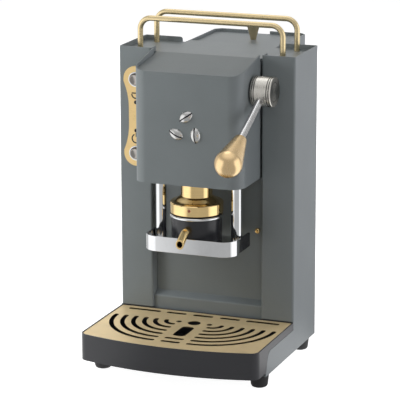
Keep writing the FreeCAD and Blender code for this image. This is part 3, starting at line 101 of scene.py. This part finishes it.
# Surface finishes: each is built from grain, tone and relief that sit still on the piece
class Finish(Wiring):
    """A coated, plated or moulded surface."""

    def __init__(self, name, colour, roughness, metallic=0.0):
        self.material = bpy.data.materials.new(name)
        self.material.use_nodes = True
        super().__init__(self.material.node_tree)
        self.shader = self.tree.nodes["Principled BSDF"]
        self.set("Base Color", (*colour, 1.0))
        self.set("Roughness", roughness)
        self.set("Metallic", metallic)
        self.place = self.add("ShaderNodeTexCoord").outputs["Object"]

    def set(self, socket, value):
        self.shader.inputs[socket].default_value = value

    def feed(self, value, socket):
        self.tree.links.new(value, self.shader.inputs[socket])

    def moved(self, centre=(0, 0, 0), stretch=(1, 1, 1)):
        """Object coordinates about a centre, stretched."""
        shifted = self.vector("SUBTRACT", self.place, tuple(centre)).outputs[0]
        values = {"Vector": shifted, "Scale": stretch}
        return self.add("ShaderNodeMapping", values).outputs["Vector"]

    def grain(self, size, detail=2.0, where=None):
        """Noise whose grains are about size millimetres across."""
        values = {"Vector": where or self.place, "Scale": 1 / (size * MM), "Detail": detail}
        return self.add("ShaderNodeTexNoise", values).outputs["Fac"]

    def tones(self, value, dark, light, start=0.3, end=0.7):
        factor = self.ranged(value, 0.0, 1.0, start, end)
        mix = self.add("ShaderNodeMix", {0: factor, 6: (*dark, 1.0), 7: (*light, 1.0)}, data_type="RGBA")
        self.feed(mix.outputs[2], "Base Color")

    def roughened(self, value, low, high, start=0.3, end=0.7):
        self.feed(self.ranged(value, low, high, start, end), "Roughness")

    def relief(self, height, depth, strength=1.0):
        bump = self.add("ShaderNodeBump", {"Height": height, "Distance": depth * MM, "Strength": strength})
        self.feed(bump.outputs["Normal"], "Normal")

    def sum(self, first, second, share):
        """A mix of two heights, with the given share of the second."""
        return self.add("ShaderNodeMix", {0: share, 2: first, 3: second}).outputs[0]


def scaled(colour, factor):
    return tuple(channel * factor for channel in colour)


def powder_coat(name, colour, roughness, grain_size):
    """Baked powder: an orange-peel skin with fine grit and slow changes of tone."""
    finish = Finish(name, colour, roughness)
    grit = finish.grain(grain_size, 3.0)
    peel = finish.grain(2.6, 2.0)
    cloud = finish.grain(55.0, 3.0)
    finish.tones(finish.sum(cloud, grit, 0.45), scaled(colour, 0.93), scaled(colour, 1.07))
    finish.roughened(grit, roughness - 0.06, roughness + 0.08)
    finish.relief(finish.sum(peel, grit, 0.6), 0.035, 0.5)
    finish.set("Specular IOR Level", 0.45)
    return finish.material


def satin_metal(name, colour, roughness, stretch, depth=0.02, metallic=1.0):
    """Metal brushed along the axis whose stretch is smallest."""
    finish = Finish(name, colour, roughness, metallic)
    lines = finish.grain(0.35, 2.0, finish.moved(stretch=stretch))
    cloud = finish.grain(18.0, 2.0)
    finish.tones(finish.sum(cloud, lines, 0.5), scaled(colour, 0.9), scaled(colour, 1.05))
    finish.roughened(finish.sum(lines, cloud, 0.35), roughness - 0.07, roughness + 0.09)
    finish.relief(lines, depth, 0.35)
    return finish.material


def turned_metal(name, colour, roughness, centre, axis, pitch, depth, anisotropic=0.0):
    """Metal turned on a lathe: fine rings about an axis, with the sheen drawn out around it."""
    finish = Finish(name, colour, roughness, 1.0)
    shifted = finish.moved(centre)
    along = finish.dot(shifted, tuple(axis))
    line = finish.add("ShaderNodeVectorMath", {0: tuple(axis), "Scale": along}, operation="SCALE")
    across = finish.vector("SUBTRACT", shifted, line.outputs[0]).outputs[0]
    reach = finish.vector("LENGTH", across).outputs["Value"]
    sweep = finish.add("ShaderNodeCombineXYZ", {"X": reach, "Y": along}).outputs[0]
    rings = finish.grain(pitch, 1.0, sweep)
    cloud = finish.grain(9.0, 2.0)
    finish.tones(finish.sum(rings, cloud, 0.4), scaled(colour, 0.9), scaled(colour, 1.05))
    finish.roughened(rings, max(roughness - 0.05, 0.02), roughness + 0.06)
    finish.relief(rings, depth, 0.4)
    if anisotropic:
        around = finish.vector("CROSS_PRODUCT", tuple(axis), across).outputs[0]
        finish.feed(finish.vector("NORMALIZE", around).outputs[0], "Tangent")
        finish.set("Anisotropic", anisotropic)
    return finish.material


def polished_metal(name, colour, roughness, depth=0.004, wipe_size=1.2):
    """Polished metal with a faint haze of wiping marks."""
    finish = Finish(name, colour, roughness, 1.0)
    haze = finish.grain(14.0, 3.0)
    wipes = finish.grain(wipe_size, 2.0, finish.moved(stretch=(1.0, 1.0, 0.08)))
    finish.tones(haze, scaled(colour, 0.96), scaled(colour, 1.03))
    finish.roughened(finish.sum(haze, wipes, 0.5), roughness * 0.7, roughness * 1.5)
    finish.relief(wipes, depth, 0.25)
    return finish.material


def moulded(name, colour, roughness, grain_size, depth):
    """Rubber or plastic with a spark-eroded skin."""
    finish = Finish(name, colour, roughness)
    skin = finish.grain(grain_size, 3.0)
    cloud = finish.grain(20.0, 2.0)
    finish.tones(finish.sum(cloud, skin, 0.4), scaled(colour, 0.8), scaled(colour, 1.25))
    finish.roughened(skin, roughness - 0.08, roughness + 0.1)
    finish.relief(skin, depth, 0.5)
    return finish.material


def clear_moulding(name, colour):
    """Clear plastic with faint flow marks."""
    finish = Finish(name, colour, 0.12)
    flow = finish.grain(25.0, 2.0, finish.moved(stretch=(1.0, 1.0, 0.25)))
    finish.tones(flow, scaled(colour, 0.95), colour)
    finish.roughened(flow, 0.08, 0.18)
    finish.relief(flow, 0.05, 0.3)
    finish.set("Transmission Weight", 0.85)
    finish.set("IOR", 1.49)
    return finish.material


def circuit_resist(name, colour):
    """Green solder resist with lighter copper tracks under it."""
    finish = Finish(name, colour, 0.35)
    values = {"Vector": finish.place, "Scale": 170.0}
    tracks = finish.add("ShaderNodeTexVoronoi", values, distance="MANHATTAN").outputs["Distance"]
    finish.tones(tracks, scaled(colour, 0.75), scaled(colour, 1.5), 0.2, 0.5)
    finish.relief(tracks, 0.03, 0.5)
    return finish.material


# The lever at rest points forwards and down from its axis
lever_axis = Vector(joints["lever_turn"]["pos_m"])
LEVER_DROOP = math.radians(26.5)
ROD_WAY = Vector((0, -math.cos(LEVER_DROOP), -math.sin(LEVER_DROOP)))
head_centre = middle("group_head")

BODY_GREY = (0.188, 0.212, 0.217)
BRASS = (0.800, 0.590, 0.285)
RICH_BRASS = (0.940, 0.690, 0.330)
STEEL = (0.760, 0.770, 0.780)

# Finishes by the record's slots, and extra ones for parts of a piece
finishes = {
    "body_paint": powder_coat("body powder coat", BODY_GREY, 0.42, 0.55),
    "tray_paint": powder_coat("tray powder coat", (0.038, 0.039, 0.043), 0.40, 0.55),
    "satin_brass": satin_metal("satin brass", BRASS, 0.33, (0.06, 1.0, 1.0)),
    "polished_brass": turned_metal("polished brass", RICH_BRASS, 0.10, head_centre, UP, 0.5, 0.006),
    "polished_steel": polished_metal("polished steel", STEEL, 0.07),
    "copper_steel": polished_metal("copper plated steel", (0.62, 0.30, 0.20), 0.28),
    "nickel": turned_metal("turned nickel", (0.66, 0.64, 0.59), 0.24, lever_axis, RIGHT, 0.45, 0.02, 0.6),
    "zinc_steel": satin_metal("zinc plated steel", (0.60, 0.61, 0.62), 0.38, (1.0, 0.1, 1.0)),
    "pewter": polished_metal("burnished pewter", (0.62, 0.62, 0.61), 0.22),
    "black_plastic": moulded("black moulded plastic", (0.022, 0.022, 0.024), 0.42, 0.6, 0.03),
    "black_anodised": powder_coat("black satin coat", (0.020, 0.021, 0.024), 0.24, 0.4),
    "rubber": moulded("black rubber", (0.022, 0.022, 0.023), 0.62, 0.9, 0.06),
    "clear_plastic": clear_moulding("clear tank plastic", (0.80, 0.86, 0.88)),
    "aluminium": satin_metal("cast aluminium", (0.66, 0.67, 0.68), 0.42, (1.0, 1.0, 1.0), depth=0.05),
    "board_green": circuit_resist("circuit board", (0.03, 0.16, 0.07)),
    "silicone": moulded("silicone hose", (0.72, 0.70, 0.66), 0.45, 1.2, 0.02),
    "lens_amber": moulded("smoked lens", (0.020, 0.014, 0.010), 0.14, 2.0, 0.004),
}
extra = {
    "handle": polished_metal("turned satin brass", (0.86, 0.63, 0.35), 0.24, 0.0005, 8.0),
    "grille": satin_metal("brushed grille brass", (0.83, 0.66, 0.38), 0.5, (0.04, 1.0, 1.0), metallic=0.4),
    "rail": satin_metal("brushed rail brass", (0.86, 0.70, 0.41), 0.26, (0.06, 1.0, 1.0)),
    "knob": polished_metal("polished knob brass", (0.82, 0.67, 0.42), 0.14),
    # hub_end: a darker colour on the hub's end face, painted dark reflection
    "hub_end": turned_metal("hub end painted dark reflection", (0.32, 0.31, 0.29), 0.3, lever_axis, RIGHT, 0.9, 0.03, 0.7),
    # groove: near-black metal in the hub's grooves, painted shade
    "groove": satin_metal("hub groove painted shade", (0.07, 0.068, 0.065), 0.4, (1.0, 1.0, 1.0)),
    # bean_groove: near-black in the grooves of the ornament's beans, painted shade
    "bean_groove": satin_metal("bean groove painted shade", (0.035, 0.036, 0.038), 0.5, (1.0, 1.0, 1.0)),
    # thread_flank_painted_shade: near-black steel on the thread's flanks, painted shade
    "thread_flank_painted_shade": satin_metal("thread flank painted shade", (0.12, 0.12, 0.125), 0.3, (1.0, 1.0, 1.0)),
    # thread_crest_painted_highlight: near-white steel, brighter than the steel itself, painted highlight
    "thread_crest_painted_highlight": polished_metal("thread crest painted highlight", (0.97, 0.97, 0.97), 0.1),
    # cap: chrome darkened to stand in for dark reflections, painted reflection
    "cap": polished_metal("button cap chrome painted dark reflection", (0.36, 0.34, 0.32), 0.06),
    # slot_wall_painted_shade: dark brown on the walls of the grille's slots, painted shade
    "slot_wall_painted_shade": satin_metal("slot wall painted shade", (0.16, 0.12, 0.06), 0.5, (1.0, 1.0, 1.0)),
}
record_slots = {part["node"]: part["material_slot"] for part in frame["record"]["subparts"]}
bodies = {name: body for body, names in frame["record"]["behaviour"]["bodies"].items() for name in names}


# Ways of making a piece
def piece(bm, name, slot, body, replaced=(), finish=None, sharp=38.0):
    """Turns a modelled shape into a piece of the machine that rides on a body."""
    mesh = bpy.data.meshes.new(name)
    bm.to_mesh(mesh)
    bm.free()
    mesh.shade_smooth()
    mesh.set_sharp_from_angle(angle=math.radians(sharp))
    made = bpy.data.objects.new(name, mesh)
    bpy.context.scene.collection.objects.link(made)
    mesh.materials.append(finish or finishes[slot])
    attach(made, body)
    if replaced:
        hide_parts(*replaced)
    return made


def closed(bm):
    """Joins the seams of a shape and turns its faces outwards."""
    bmesh.ops.remove_doubles(bm, verts=bm.verts, dist=MERGE)
    bmesh.ops.recalc_face_normals(bm, faces=bm.faces)
    return bm


def lathe(outline, centre, axis, steps=72):
    """Spins an outline of (radius, height) points about an axis through centre."""
    bm = bmesh.new()
    corners = [bm.verts.new((radius * MM, 0, height * MM)) for radius, height in outline]
    sides = [bm.edges.new(pair) for pair in zip(corners, corners[1:])]
    bmesh.ops.spin(bm, geom=corners + sides, cent=(0, 0, 0), axis=UP, angle=TURN, steps=steps,
                   use_merge=True)
    return stood(closed(bm), centre, axis)


def stood(bm, centre, axis):
    """Turns a shape made along +Z so that it stands at centre along an axis."""
    turn = UP.rotation_difference(Vector(axis)).to_matrix().to_4x4()
    bmesh.ops.transform(bm, matrix=Matrix.Translation(centre) @ turn, verts=bm.verts)
    return bm


def bar(size, centre):
    """A block of the given size in millimetres with eased edges."""
    bm = bmesh.new()
    bmesh.ops.create_cube(bm, size=MM, matrix=Matrix.Diagonal((*size, 1)))
    bmesh.ops.bevel(bm, geom=bm.edges[:], offset=min(size) * 0.15 * MM, segments=3, profile=0.5,
                    affect="EDGES", material=-1)
    bmesh.ops.translate(bm, vec=centre, verts=bm.verts)
    return closed(bm)


def eased(node, radius=0.22, corner=36.0, finish=None):
    """A copy of a solid with its sharp edges eased, which then stands for that solid."""
    bm = bmesh.new()
    bm.from_mesh(nodes[node].data)
    bmesh.ops.remove_doubles(bm, verts=bm.verts, dist=MERGE)
    bmesh.ops.dissolve_limit(bm, angle_limit=math.radians(0.3), verts=bm.verts, edges=bm.edges)
    least = math.radians(corner)
    sharp = [edge for edge in bm.edges if edge.is_manifold and edge.calc_face_angle() > least]
    bmesh.ops.bevel(bm, geom=sharp, offset=radius * MM, segments=2, profile=0.5, affect="EDGES",
                    material=-1, clamp_overlap=True)
    made = piece(bm, node + "_finished", record_slots[node], bodies[node], [node], finish, 60.0)
    weights = made.modifiers.new("even shading", "WEIGHTED_NORMAL")
    weights.keep_sharp = True
    return made


def parted(made, finish, chosen):
    """Gives the faces that a test of place and normal picks a finish of their own."""
    made.data.materials.append(finish)
    number = len(made.data.materials) - 1
    for face in made.data.polygons:
        if chosen(face.center / MM, face.normal):
            face.material_index = number


# Every CAD solid wears its slot's finish, and those in view get eased edges
FINE_EASE = 0.12
FOOT_EASE = 0.5

for node, cad_object in nodes.items():
    cad_object.data.materials.clear()
    cad_object.data.materials.append(finishes[record_slots[node]])

for node in ("casing_left", "casing_right", "hood_shell", "top_plate", "recess_panel", "rear_housing",
             "tank_lid", "base_plate", "bracket_band", "control_plate", "drip_tray", "group_head",
             "holder_rim", "pod_holder", "spout", "mains_inlet", "column_left", "column_right",
             "set_screw"):
    eased(node)
for node in ("front_rail", "rear_rail"):
    eased(node, finish=extra["rail"])
eased("lid_knob", finish=extra["knob"])
for side in ("left", "right"):
    for place in ("front", "middle", "rear"):
        eased("foot_" + place + "_" + side, FOOT_EASE)
eased("lever_handle", finish=extra["handle"])


# Pod bracket: a black dish whose floor and inner wall are left bright
def bright_bracket():
    low, high = (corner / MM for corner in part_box("pod_bracket"))
    centre = (low + high) / 2
    dish_depth = 7.4
    rim_ease = 0.3

    def bright_inside(spot, way):
        inward = Vector((spot.x - centre.x, spot.y - centre.y, 0)).dot(way) < 0
        floor_or_wall = way.z > 0.7 or (inward and abs(way.z) < 0.3)
        return floor_or_wall and high.z - dish_depth < spot.z < high.z - rim_ease

    parted(eased("pod_bracket"), finishes["polished_steel"], bright_inside)


bright_bracket()

# Grille: the walls of its slots get a dark finish, painted shade
grille = eased("grille", FINE_EASE, finish=extra["grille"])
# Every wall face of the grille gets the dark painted shade
parted(grille, extra["slot_wall_painted_shade"], lambda spot, way: abs(way.z) < 0.5)


# Turned hub: its grooves get a near-black finish, painted shade, and its end face a darker turned finish, a
# painted dark reflection
def turned_hub():
    hub = eased("lever_hub", FINE_EASE)
    hub_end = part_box("lever_hub")[1].x / MM
    groove_floor = 14.8
    groove_edge = 15.85
    end_radius = 15.2
    end_ease = 0.7
    end_depth = 1.5

    def reach(spot):
        return math.hypot(spot.y - lever_axis.y / MM, spot.z - lever_axis.z / MM)

    def in_painted_shade_groove(spot, way):
        return groove_floor < reach(spot) < groove_edge and spot.x < hub_end - end_ease

    def on_painted_dark_end(spot, way):
        return way.x > 0.7 and spot.x > hub_end - end_depth and reach(spot) < end_radius

    # Groove faces get the painted shade, the end face the painted dark reflection
    parted(hub, extra["groove"], in_painted_shade_groove)
    parted(hub, extra["hub_end"], on_painted_dark_end)


turned_hub()


# Coffee beans of the ornament: burnished backs, and grooves painted dark as shade
def islands_of(mesh):
    """The corners of each loose part of a mesh, in millimetres."""
    bm = bmesh.new()
    bm.from_mesh(mesh)
    seen = set()
    islands = []
    for seed in bm.verts:
        if seed in seen:
            continue
        seen.add(seed)
        island = [seed]
        for corner in island:
            for edge in corner.link_edges:
                other = edge.other_vert(corner)
                if other not in seen:
                    seen.add(other)
                    island.append(other)
        islands.append([corner.co / MM for corner in island])
    bm.free()
    return islands


def ornament_beans():
    made = eased("hood_ornament", FINE_EASE, 50.0)
    half_length = 9.6
    groove_half_width = 0.74

    def flat(step):
        return Vector((step.x, 0, step.z))

    beans = []
    for island in islands_of(made.data):
        centre = sum(island, Vector()) / len(island)
        tip = max(island, key=lambda spot: flat(spot - centre).length)
        beans.append((centre, flat(tip - centre).normalized()))

    def in_painted_shade_groove(spot, way):
        for centre, line in beans:
            step = flat(spot - centre)
            if step.length < half_length and (step - line * step.dot(line)).length < groove_half_width:
                return True
        return False

    # The groove faces get the dark painted shade finish
    parted(made, extra["bean_groove"], in_painted_shade_groove)


ornament_beans()


# Lever rod with a rolled thread, from inside the hub to inside the handle; its crests are painted near white as a
# highlight and its flanks dark as shade
def threaded_rod():
    low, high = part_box("lever_rod")
    core = 3.35
    crest = 3.96
    pitch = 1.5
    start = 9.0
    length = -((high - low) / MM).dot(ROD_WAY)
    turns = int((length - 2 * crest * ROD_WAY.y * ROD_WAY.z - pitch) / pitch)
    per_turn = 24
    bm = bmesh.new()
    outline = [(core, 0.0), (crest, 0.22), (crest, 0.78), (core, 1.0)]
    corners = [bm.verts.new((radius * MM, 0, height * pitch * MM)) for radius, height in outline]
    sides = [bm.edges.new(pair) for pair in zip(corners, corners[1:])]
    bmesh.ops.spin(bm, geom=corners + sides, cent=(0, 0, 0), axis=UP, dvec=(0, 0, pitch / per_turn * MM),
                   angle=TURN * turns, steps=per_turn * turns)
    bmesh.ops.remove_doubles(bm, verts=bm.verts, dist=MERGE)
    bmesh.ops.holes_fill(bm, edges=[edge for edge in bm.edges if edge.is_boundary], sides=0)
    bmesh.ops.recalc_face_normals(bm, faces=bm.faces)
    stood(bm, lever_axis + ROD_WAY * start * MM, ROD_WAY)
    made = piece(bm, "threaded_rod", "polished_steel", "lever", ["lever_rod"], extra["thread_crest_painted_highlight"], 50.0)
    # The flanks get the painted shade, and the crests keep the painted highlight
    parted(made, extra["thread_flank_painted_shade"], lambda spot, way: abs(way.dot(ROD_WAY)) > 0.3)


threaded_rod()


# Push buttons: a dished cap in a rounded bezel; the cap's chrome is darkened as a painted dark reflection
def push_buttons():
    crest = 4.4
    cap = [(0, 3.55), (2.2, 3.62), (3.9, 3.95), (4.7, 4.32), (5.1, crest), (5.45, 4.3), (5.68, 4.0),
           (5.75, 3.6), (5.75, -4.1), (0, -4.1)]
    bezel = [(6.35, 0.02), (8.25, 0.02), (8.25, 0.7), (8.1, 1.25), (7.75, 1.62), (7.3, 1.78), (6.85, 1.7),
             (6.5, 1.45), (6.35, 1.1), (6.35, 0.02)]
    for node in ("upper_button", "lower_button"):
        low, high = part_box(node)
        face = Vector(((low.x + high.x) / 2, low.y + crest * MM, (low.z + high.z) / 2))
        piece(lathe(cap, face, FORWARD), node + "_cap", "polished_steel", node, [node], extra["cap"])
        replaced = ["button_bezels"] if node == "upper_button" else []
        piece(lathe(bezel, face, FORWARD), node + "_bezel", "polished_steel", "machine", replaced)


push_buttons()


# Socket screws
def ring_of(bm, segments, radius):
    """A loop of edges round the origin."""
    corners = bmesh.ops.create_circle(bm, segments=segments, radius=radius * MM)["verts"]
    return list({edge for corner in corners for edge in corner.link_edges})


def drawn(bm, edges, spread, rise):
    """Draws a loop of edges outwards and upwards into a wall."""
    made = bmesh.ops.extrude_edge_only(bm, edges=edges)["geom"]
    corners = [item for item in made if isinstance(item, bmesh.types.BMVert)]
    bmesh.ops.scale(bm, vec=(spread, spread, 1), verts=corners)
    bmesh.ops.translate(bm, vec=(0, 0, rise * MM), verts=corners)
    return [item for item in made if isinstance(item, bmesh.types.BMEdge)]


def socket_screw(name, slot, body, centre, axis, radius, height, key, replaced=()):
    """A domed head with a hexagon socket."""
    bm = bmesh.new()
    reach = key * 1.35
    socket = ring_of(bm, 6, key)
    rim = ring_of(bm, 36, reach)
    bmesh.ops.triangle_fill(bm, use_beauty=True, edges=socket + rim, normal=UP)
    drawn(bm, socket, 1.0, -height * 0.7)
    for next_reach, drop in ((radius * 0.82, 0.12), (radius * 0.95, 0.2), (radius, 0.3), (radius, 0.38)):
        rim = drawn(bm, rim, next_reach / reach, -height * drop)
        reach = next_reach
    bmesh.ops.holes_fill(bm, edges=[edge for edge in bm.edges if edge.is_boundary], sides=0)
    bmesh.ops.translate(bm, vec=(0, 0, height * MM), verts=bm.verts)
    piece(stood(closed(bm), centre, axis), name, slot, body, replaced)


def panel_screws():
    low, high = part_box("panel_screws")
    radius = 3.0
    for number, x in enumerate((low.x + radius * MM, high.x - radius * MM)):
        spot = Vector((x, high.y, (low.z + high.z) / 2))
        socket_screw("panel_screw_%d" % (number + 1), "polished_brass", "machine", spot, FORWARD,
                     radius, 2.3, 1.25, ["panel_screws"] if number == 0 else [])


panel_screws()


# Marks beside the lamps, a cup and a ring with a bar, and the lamps' rims
ENAMEL = 0.12
ENAMEL_LIFT = 0.05
MARK_WIDTH = 1.45
RIM_WIDTH = 0.8
CUP_HEIGHT = 285.6
POWER_HEIGHT = 236.8


def mark_arc(name, centre, radius, width, start, end):
    """A raised line of enamel along an arc on the control plate, between angles in degrees."""
    bm = bmesh.new()
    bmesh.ops.create_grid(bm, x_segments=1, y_segments=1, size=0.5)
    bmesh.ops.scale(bm, vec=(width * MM, ENAMEL * MM, 1), verts=bm.verts)
    bmesh.ops.translate(bm, vec=(radius * MM, 0, 0), verts=bm.verts)
    turn = Matrix.Rotation(-math.radians(start), 3, "Y")
    bmesh.ops.rotate(bm, cent=(0, 0, 0), matrix=turn, verts=bm.verts)
    geometry = bm.verts[:] + bm.edges[:] + bm.faces[:]
    bmesh.ops.spin(bm, geom=geometry, cent=(0, 0, 0), axis=FORWARD, angle=math.radians(end - start),
                   steps=32)
    bmesh.ops.translate(bm, vec=centre, verts=bm.verts)
    piece(closed(bm), name, "black_plastic", "machine")


def mark_line(name, centre, width, height):
    piece(bar((width, ENAMEL, height), centre), name, "black_plastic", "machine")


def control_marks():
    low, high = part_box("control_plate")
    x = (low.x + high.x) / 2
    y = low.y - ENAMEL_LIFT * MM
    cup = Vector((x, y, CUP_HEIGHT * MM))
    mark_arc("mark_cup_bowl", cup, 4.6, MARK_WIDTH, 180.0, 360.0)
    mark_line("mark_cup_rim", cup + Vector((0, 0, 1.1 * MM)), 9.6, 1.4)
    mark_arc("mark_cup_handle", cup + Vector((4.9 * MM, 0, -1.2 * MM)), 1.5, 1.1, -100.0, 80.0)
    power = Vector((x, y, POWER_HEIGHT * MM))
    mark_arc("mark_power_ring", power, 4.8, MARK_WIDTH, 115.0, 425.0)
    mark_line("mark_power_bar", power + Vector((0, 0, 4.0 * MM)), MARK_WIDTH, 4.4)

    low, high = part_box("indicator_lenses")
    radius = (high.x - low.x) / 2
    for name, z in (("lens_rim_lower", low.z + radius), ("lens_rim_upper", high.z - radius)):
        centre = Vector(((low.x + high.x) / 2, y, z))
        mark_arc(name, centre, radius / MM + 0.3, RIM_WIDTH, 0.0, 360.0)


control_marks()


# Studio: the glow that polished metal mirrors, a pale floor, soft lamps and a camera
# Ways from the machine to the bright parts of the studio
LEFT_GLOW = (-0.85, -0.53, 0.0)
RIGHT_GLOW = (0.985, 0.17, 0.0)
BACKDROP = (-0.36, 0.93, 0.0)
HIGH_GLOW = (-0.22, 0.38, 0.90)
AMBIENT = 0.04
FLOOR_GREY = 0.55
FLOOR_WHITE = 0.95
FLOOR_HALF_SIZE = 4.0
FLOOR_DROP = 0.2
WHITE = (1.0, 1.0, 1.0)


def studio_glow(wiring, way):
    """Strength of the studio seen from the machine: a bright backdrop and sides, a dim front."""
    level = wiring.vector("MULTIPLY", way, (1.0, 1.0, 0.0)).outputs[0]
    level = wiring.vector("NORMALIZE", level).outputs[0]
    back = wiring.stepped(wiring.dot(level, BACKDROP), 0.50, 1.0, 0.5, 0.88)
    left = wiring.stepped(wiring.dot(level, LEFT_GLOW), 0.0, 1.35, 0.62, 0.95)
    right = wiring.stepped(wiring.dot(level, RIGHT_GLOW), 0.0, 1.4, 0.72, 0.97)
    return wiring.larger(wiring.larger(left, right), back)


def floor_finish():
    """A pale table that the camera sees as white, and metal as part of the studio."""
    finish = Finish("pale studio floor", (FLOOR_GREY,) * 3, 0.9)
    finish.tones(finish.grain(400.0, 1.0), (FLOOR_GREY * 0.98,) * 3, (FLOOR_GREY * 1.02,) * 3)
    finish.set("Specular IOR Level", 0.0)
    finish.set("Emission Color", (*WHITE, 1.0))
    rays = finish.add("ShaderNodeLightPath").outputs
    white = finish.add("ShaderNodeMath", {0: rays["Is Camera Ray"], 1: FLOOR_WHITE}, operation="MULTIPLY")
    finish.feed(white.outputs[0], "Emission Strength")
    glow = finish.add("ShaderNodeEmission", {"Strength": studio_glow(finish, finish.place)}).outputs[0]
    output = finish.tree.nodes["Material Output"]
    values = {0: rays["Is Glossy Ray"], 1: finish.shader.outputs[0], 2: glow}
    mixed = finish.add("ShaderNodeMixShader", values)
    finish.tree.links.new(mixed.outputs[0], output.inputs["Surface"])
    return finish.material


def pale_floor():
    bm = bmesh.new()
    bmesh.ops.create_grid(bm, x_segments=1, y_segments=1, size=FLOOR_HALF_SIZE)
    bmesh.ops.translate(bm, vec=(0, 0, -FLOOR_DROP * MM), verts=bm.verts)
    mesh = bpy.data.meshes.new("floor")
    bm.to_mesh(mesh)
    bm.free()
    floor = bpy.data.objects.new("floor", mesh)
    bpy.context.scene.collection.objects.link(floor)
    mesh.materials.append(floor_finish())


def studio_world():
    """White for the camera, the studio's glow for mirrored rays, and almost no light on the machine."""
    world = bpy.data.worlds.new("studio")
    bpy.context.scene.world = world
    world.use_nodes = True
    world.node_tree.nodes.clear()
    studio = Wiring(world.node_tree)
    way = studio.add("ShaderNodeTexCoord").outputs["Generated"]
    height = studio.add("ShaderNodeSeparateXYZ", {0: way}).outputs["Z"]
    wall_top = studio.stepped(height, 0.0, 1.0, 0.34, 0.62)
    ceiling = studio.stepped(height, 0.5, 1.0, 0.6, 1.0)
    glow = studio.add("ShaderNodeMix", {0: wall_top, 2: studio_glow(studio, way), 3: ceiling}).outputs[0]
    high = studio.stepped(studio.dot(way, HIGH_GLOW), 0.0, 1.6, 0.935, 0.975)
    glow = studio.larger(glow, high)
    rays = studio.add("ShaderNodeLightPath").outputs
    mirrored = studio.larger(rays["Is Glossy Ray"], rays["Is Transmission Ray"])
    unseen = studio.add("ShaderNodeMix", {0: mirrored, 2: AMBIENT, 3: glow}).outputs[0]
    strength = studio.add("ShaderNodeMix", {0: rays["Is Camera Ray"], 2: unseen, 3: 1.0}).outputs[0]
    backdrop = studio.add("ShaderNodeBackground", {"Color": (*WHITE, 1.0), "Strength": strength})
    studio.add("ShaderNodeOutputWorld", {"Surface": backdrop.outputs[0]})


pale_floor()
studio_world()

# Lamps stand around the machine at a distance in metres and aim at its middle
AIM_HEIGHT = 0.2


def softbox(name, azimuth, elevation, distance, size, power, colour=WHITE):
    """A soft lamp; azimuth 0 stands in front of the machine and grows to its right."""
    lamp = bpy.data.lights.new(name, "AREA")
    lamp.shape = "RECTANGLE"
    lamp.size = size[0]
    lamp.size_y = size[1]
    lamp.energy = power
    lamp.color = colour
    holder = bpy.data.objects.new(name, lamp)
    angle = math.radians(azimuth)
    rise = math.radians(elevation)
    way = Vector((math.sin(angle) * math.cos(rise), -math.cos(angle) * math.cos(rise), math.sin(rise)))
    holder.location = Vector((0, 0, AIM_HEIGHT)) + way * distance
    holder.rotation_euler = (-way).to_track_quat("-Z", "Y").to_euler()
    holder.visible_glossy = False
    holder.visible_camera = False
    bpy.context.scene.collection.objects.link(holder)


softbox("left softbox", -88, 25, 1.7, (0.9, 0.9), 5.0)
softbox("near strip", -52, 10, 0.6, (0.2, 0.5), 1.05)
softbox("near window", -62, 20, 0.5, (0.2, 0.3), 0.65)
softbox("front softbox", 30, 25, 2.0, (1.2, 1.2), 5.4)
softbox("overhead softbox", -20, 58, 1.8, (1.4, 1.2), 6.5)
softbox("right softbox", 78, 15, 1.7, (0.5, 1.0), 10.0, (0.99, 0.96, 1.0))
softbox("right rear softbox", 145, 15, 1.7, (0.7, 1.4), 14.5, (0.99, 0.94, 1.0))
softbox("rear softbox", 195, 14, 1.8, (1.2, 1.0), 16.0)
softbox("rear left softbox", -140, 20, 1.8, (0.8, 1.0), 7.0)

# Camera fitted to the photograph, with its turn, pitch and roll in degrees
CAMERA_PLACE = (0.82202, -2.14629, 0.75398)
CAMERA_TURN = 21.267
CAMERA_PITCH = -14.23
CAMERA_ROLL = -0.179
FOCAL_LENGTH = 197.11


def photo_camera():
    lens = bpy.data.cameras.new("camera")
    lens.lens = FOCAL_LENGTH
    lens.sensor_width = 36.0
    camera = bpy.data.objects.new("camera", lens)
    camera.location = CAMERA_PLACE
    turn = Matrix.Rotation(math.radians(CAMERA_TURN), 3, "Z")
    pitch = Matrix.Rotation(math.radians(90 + CAMERA_PITCH), 3, "X")
    roll = Matrix.Rotation(math.radians(CAMERA_ROLL), 3, "Z")
    camera.rotation_euler = (turn @ pitch @ roll).to_euler()
    bpy.context.scene.collection.objects.link(camera)
    bpy.context.scene.camera = camera


photo_camera()
bpy.context.scene.view_settings.view_transform = "Standard"
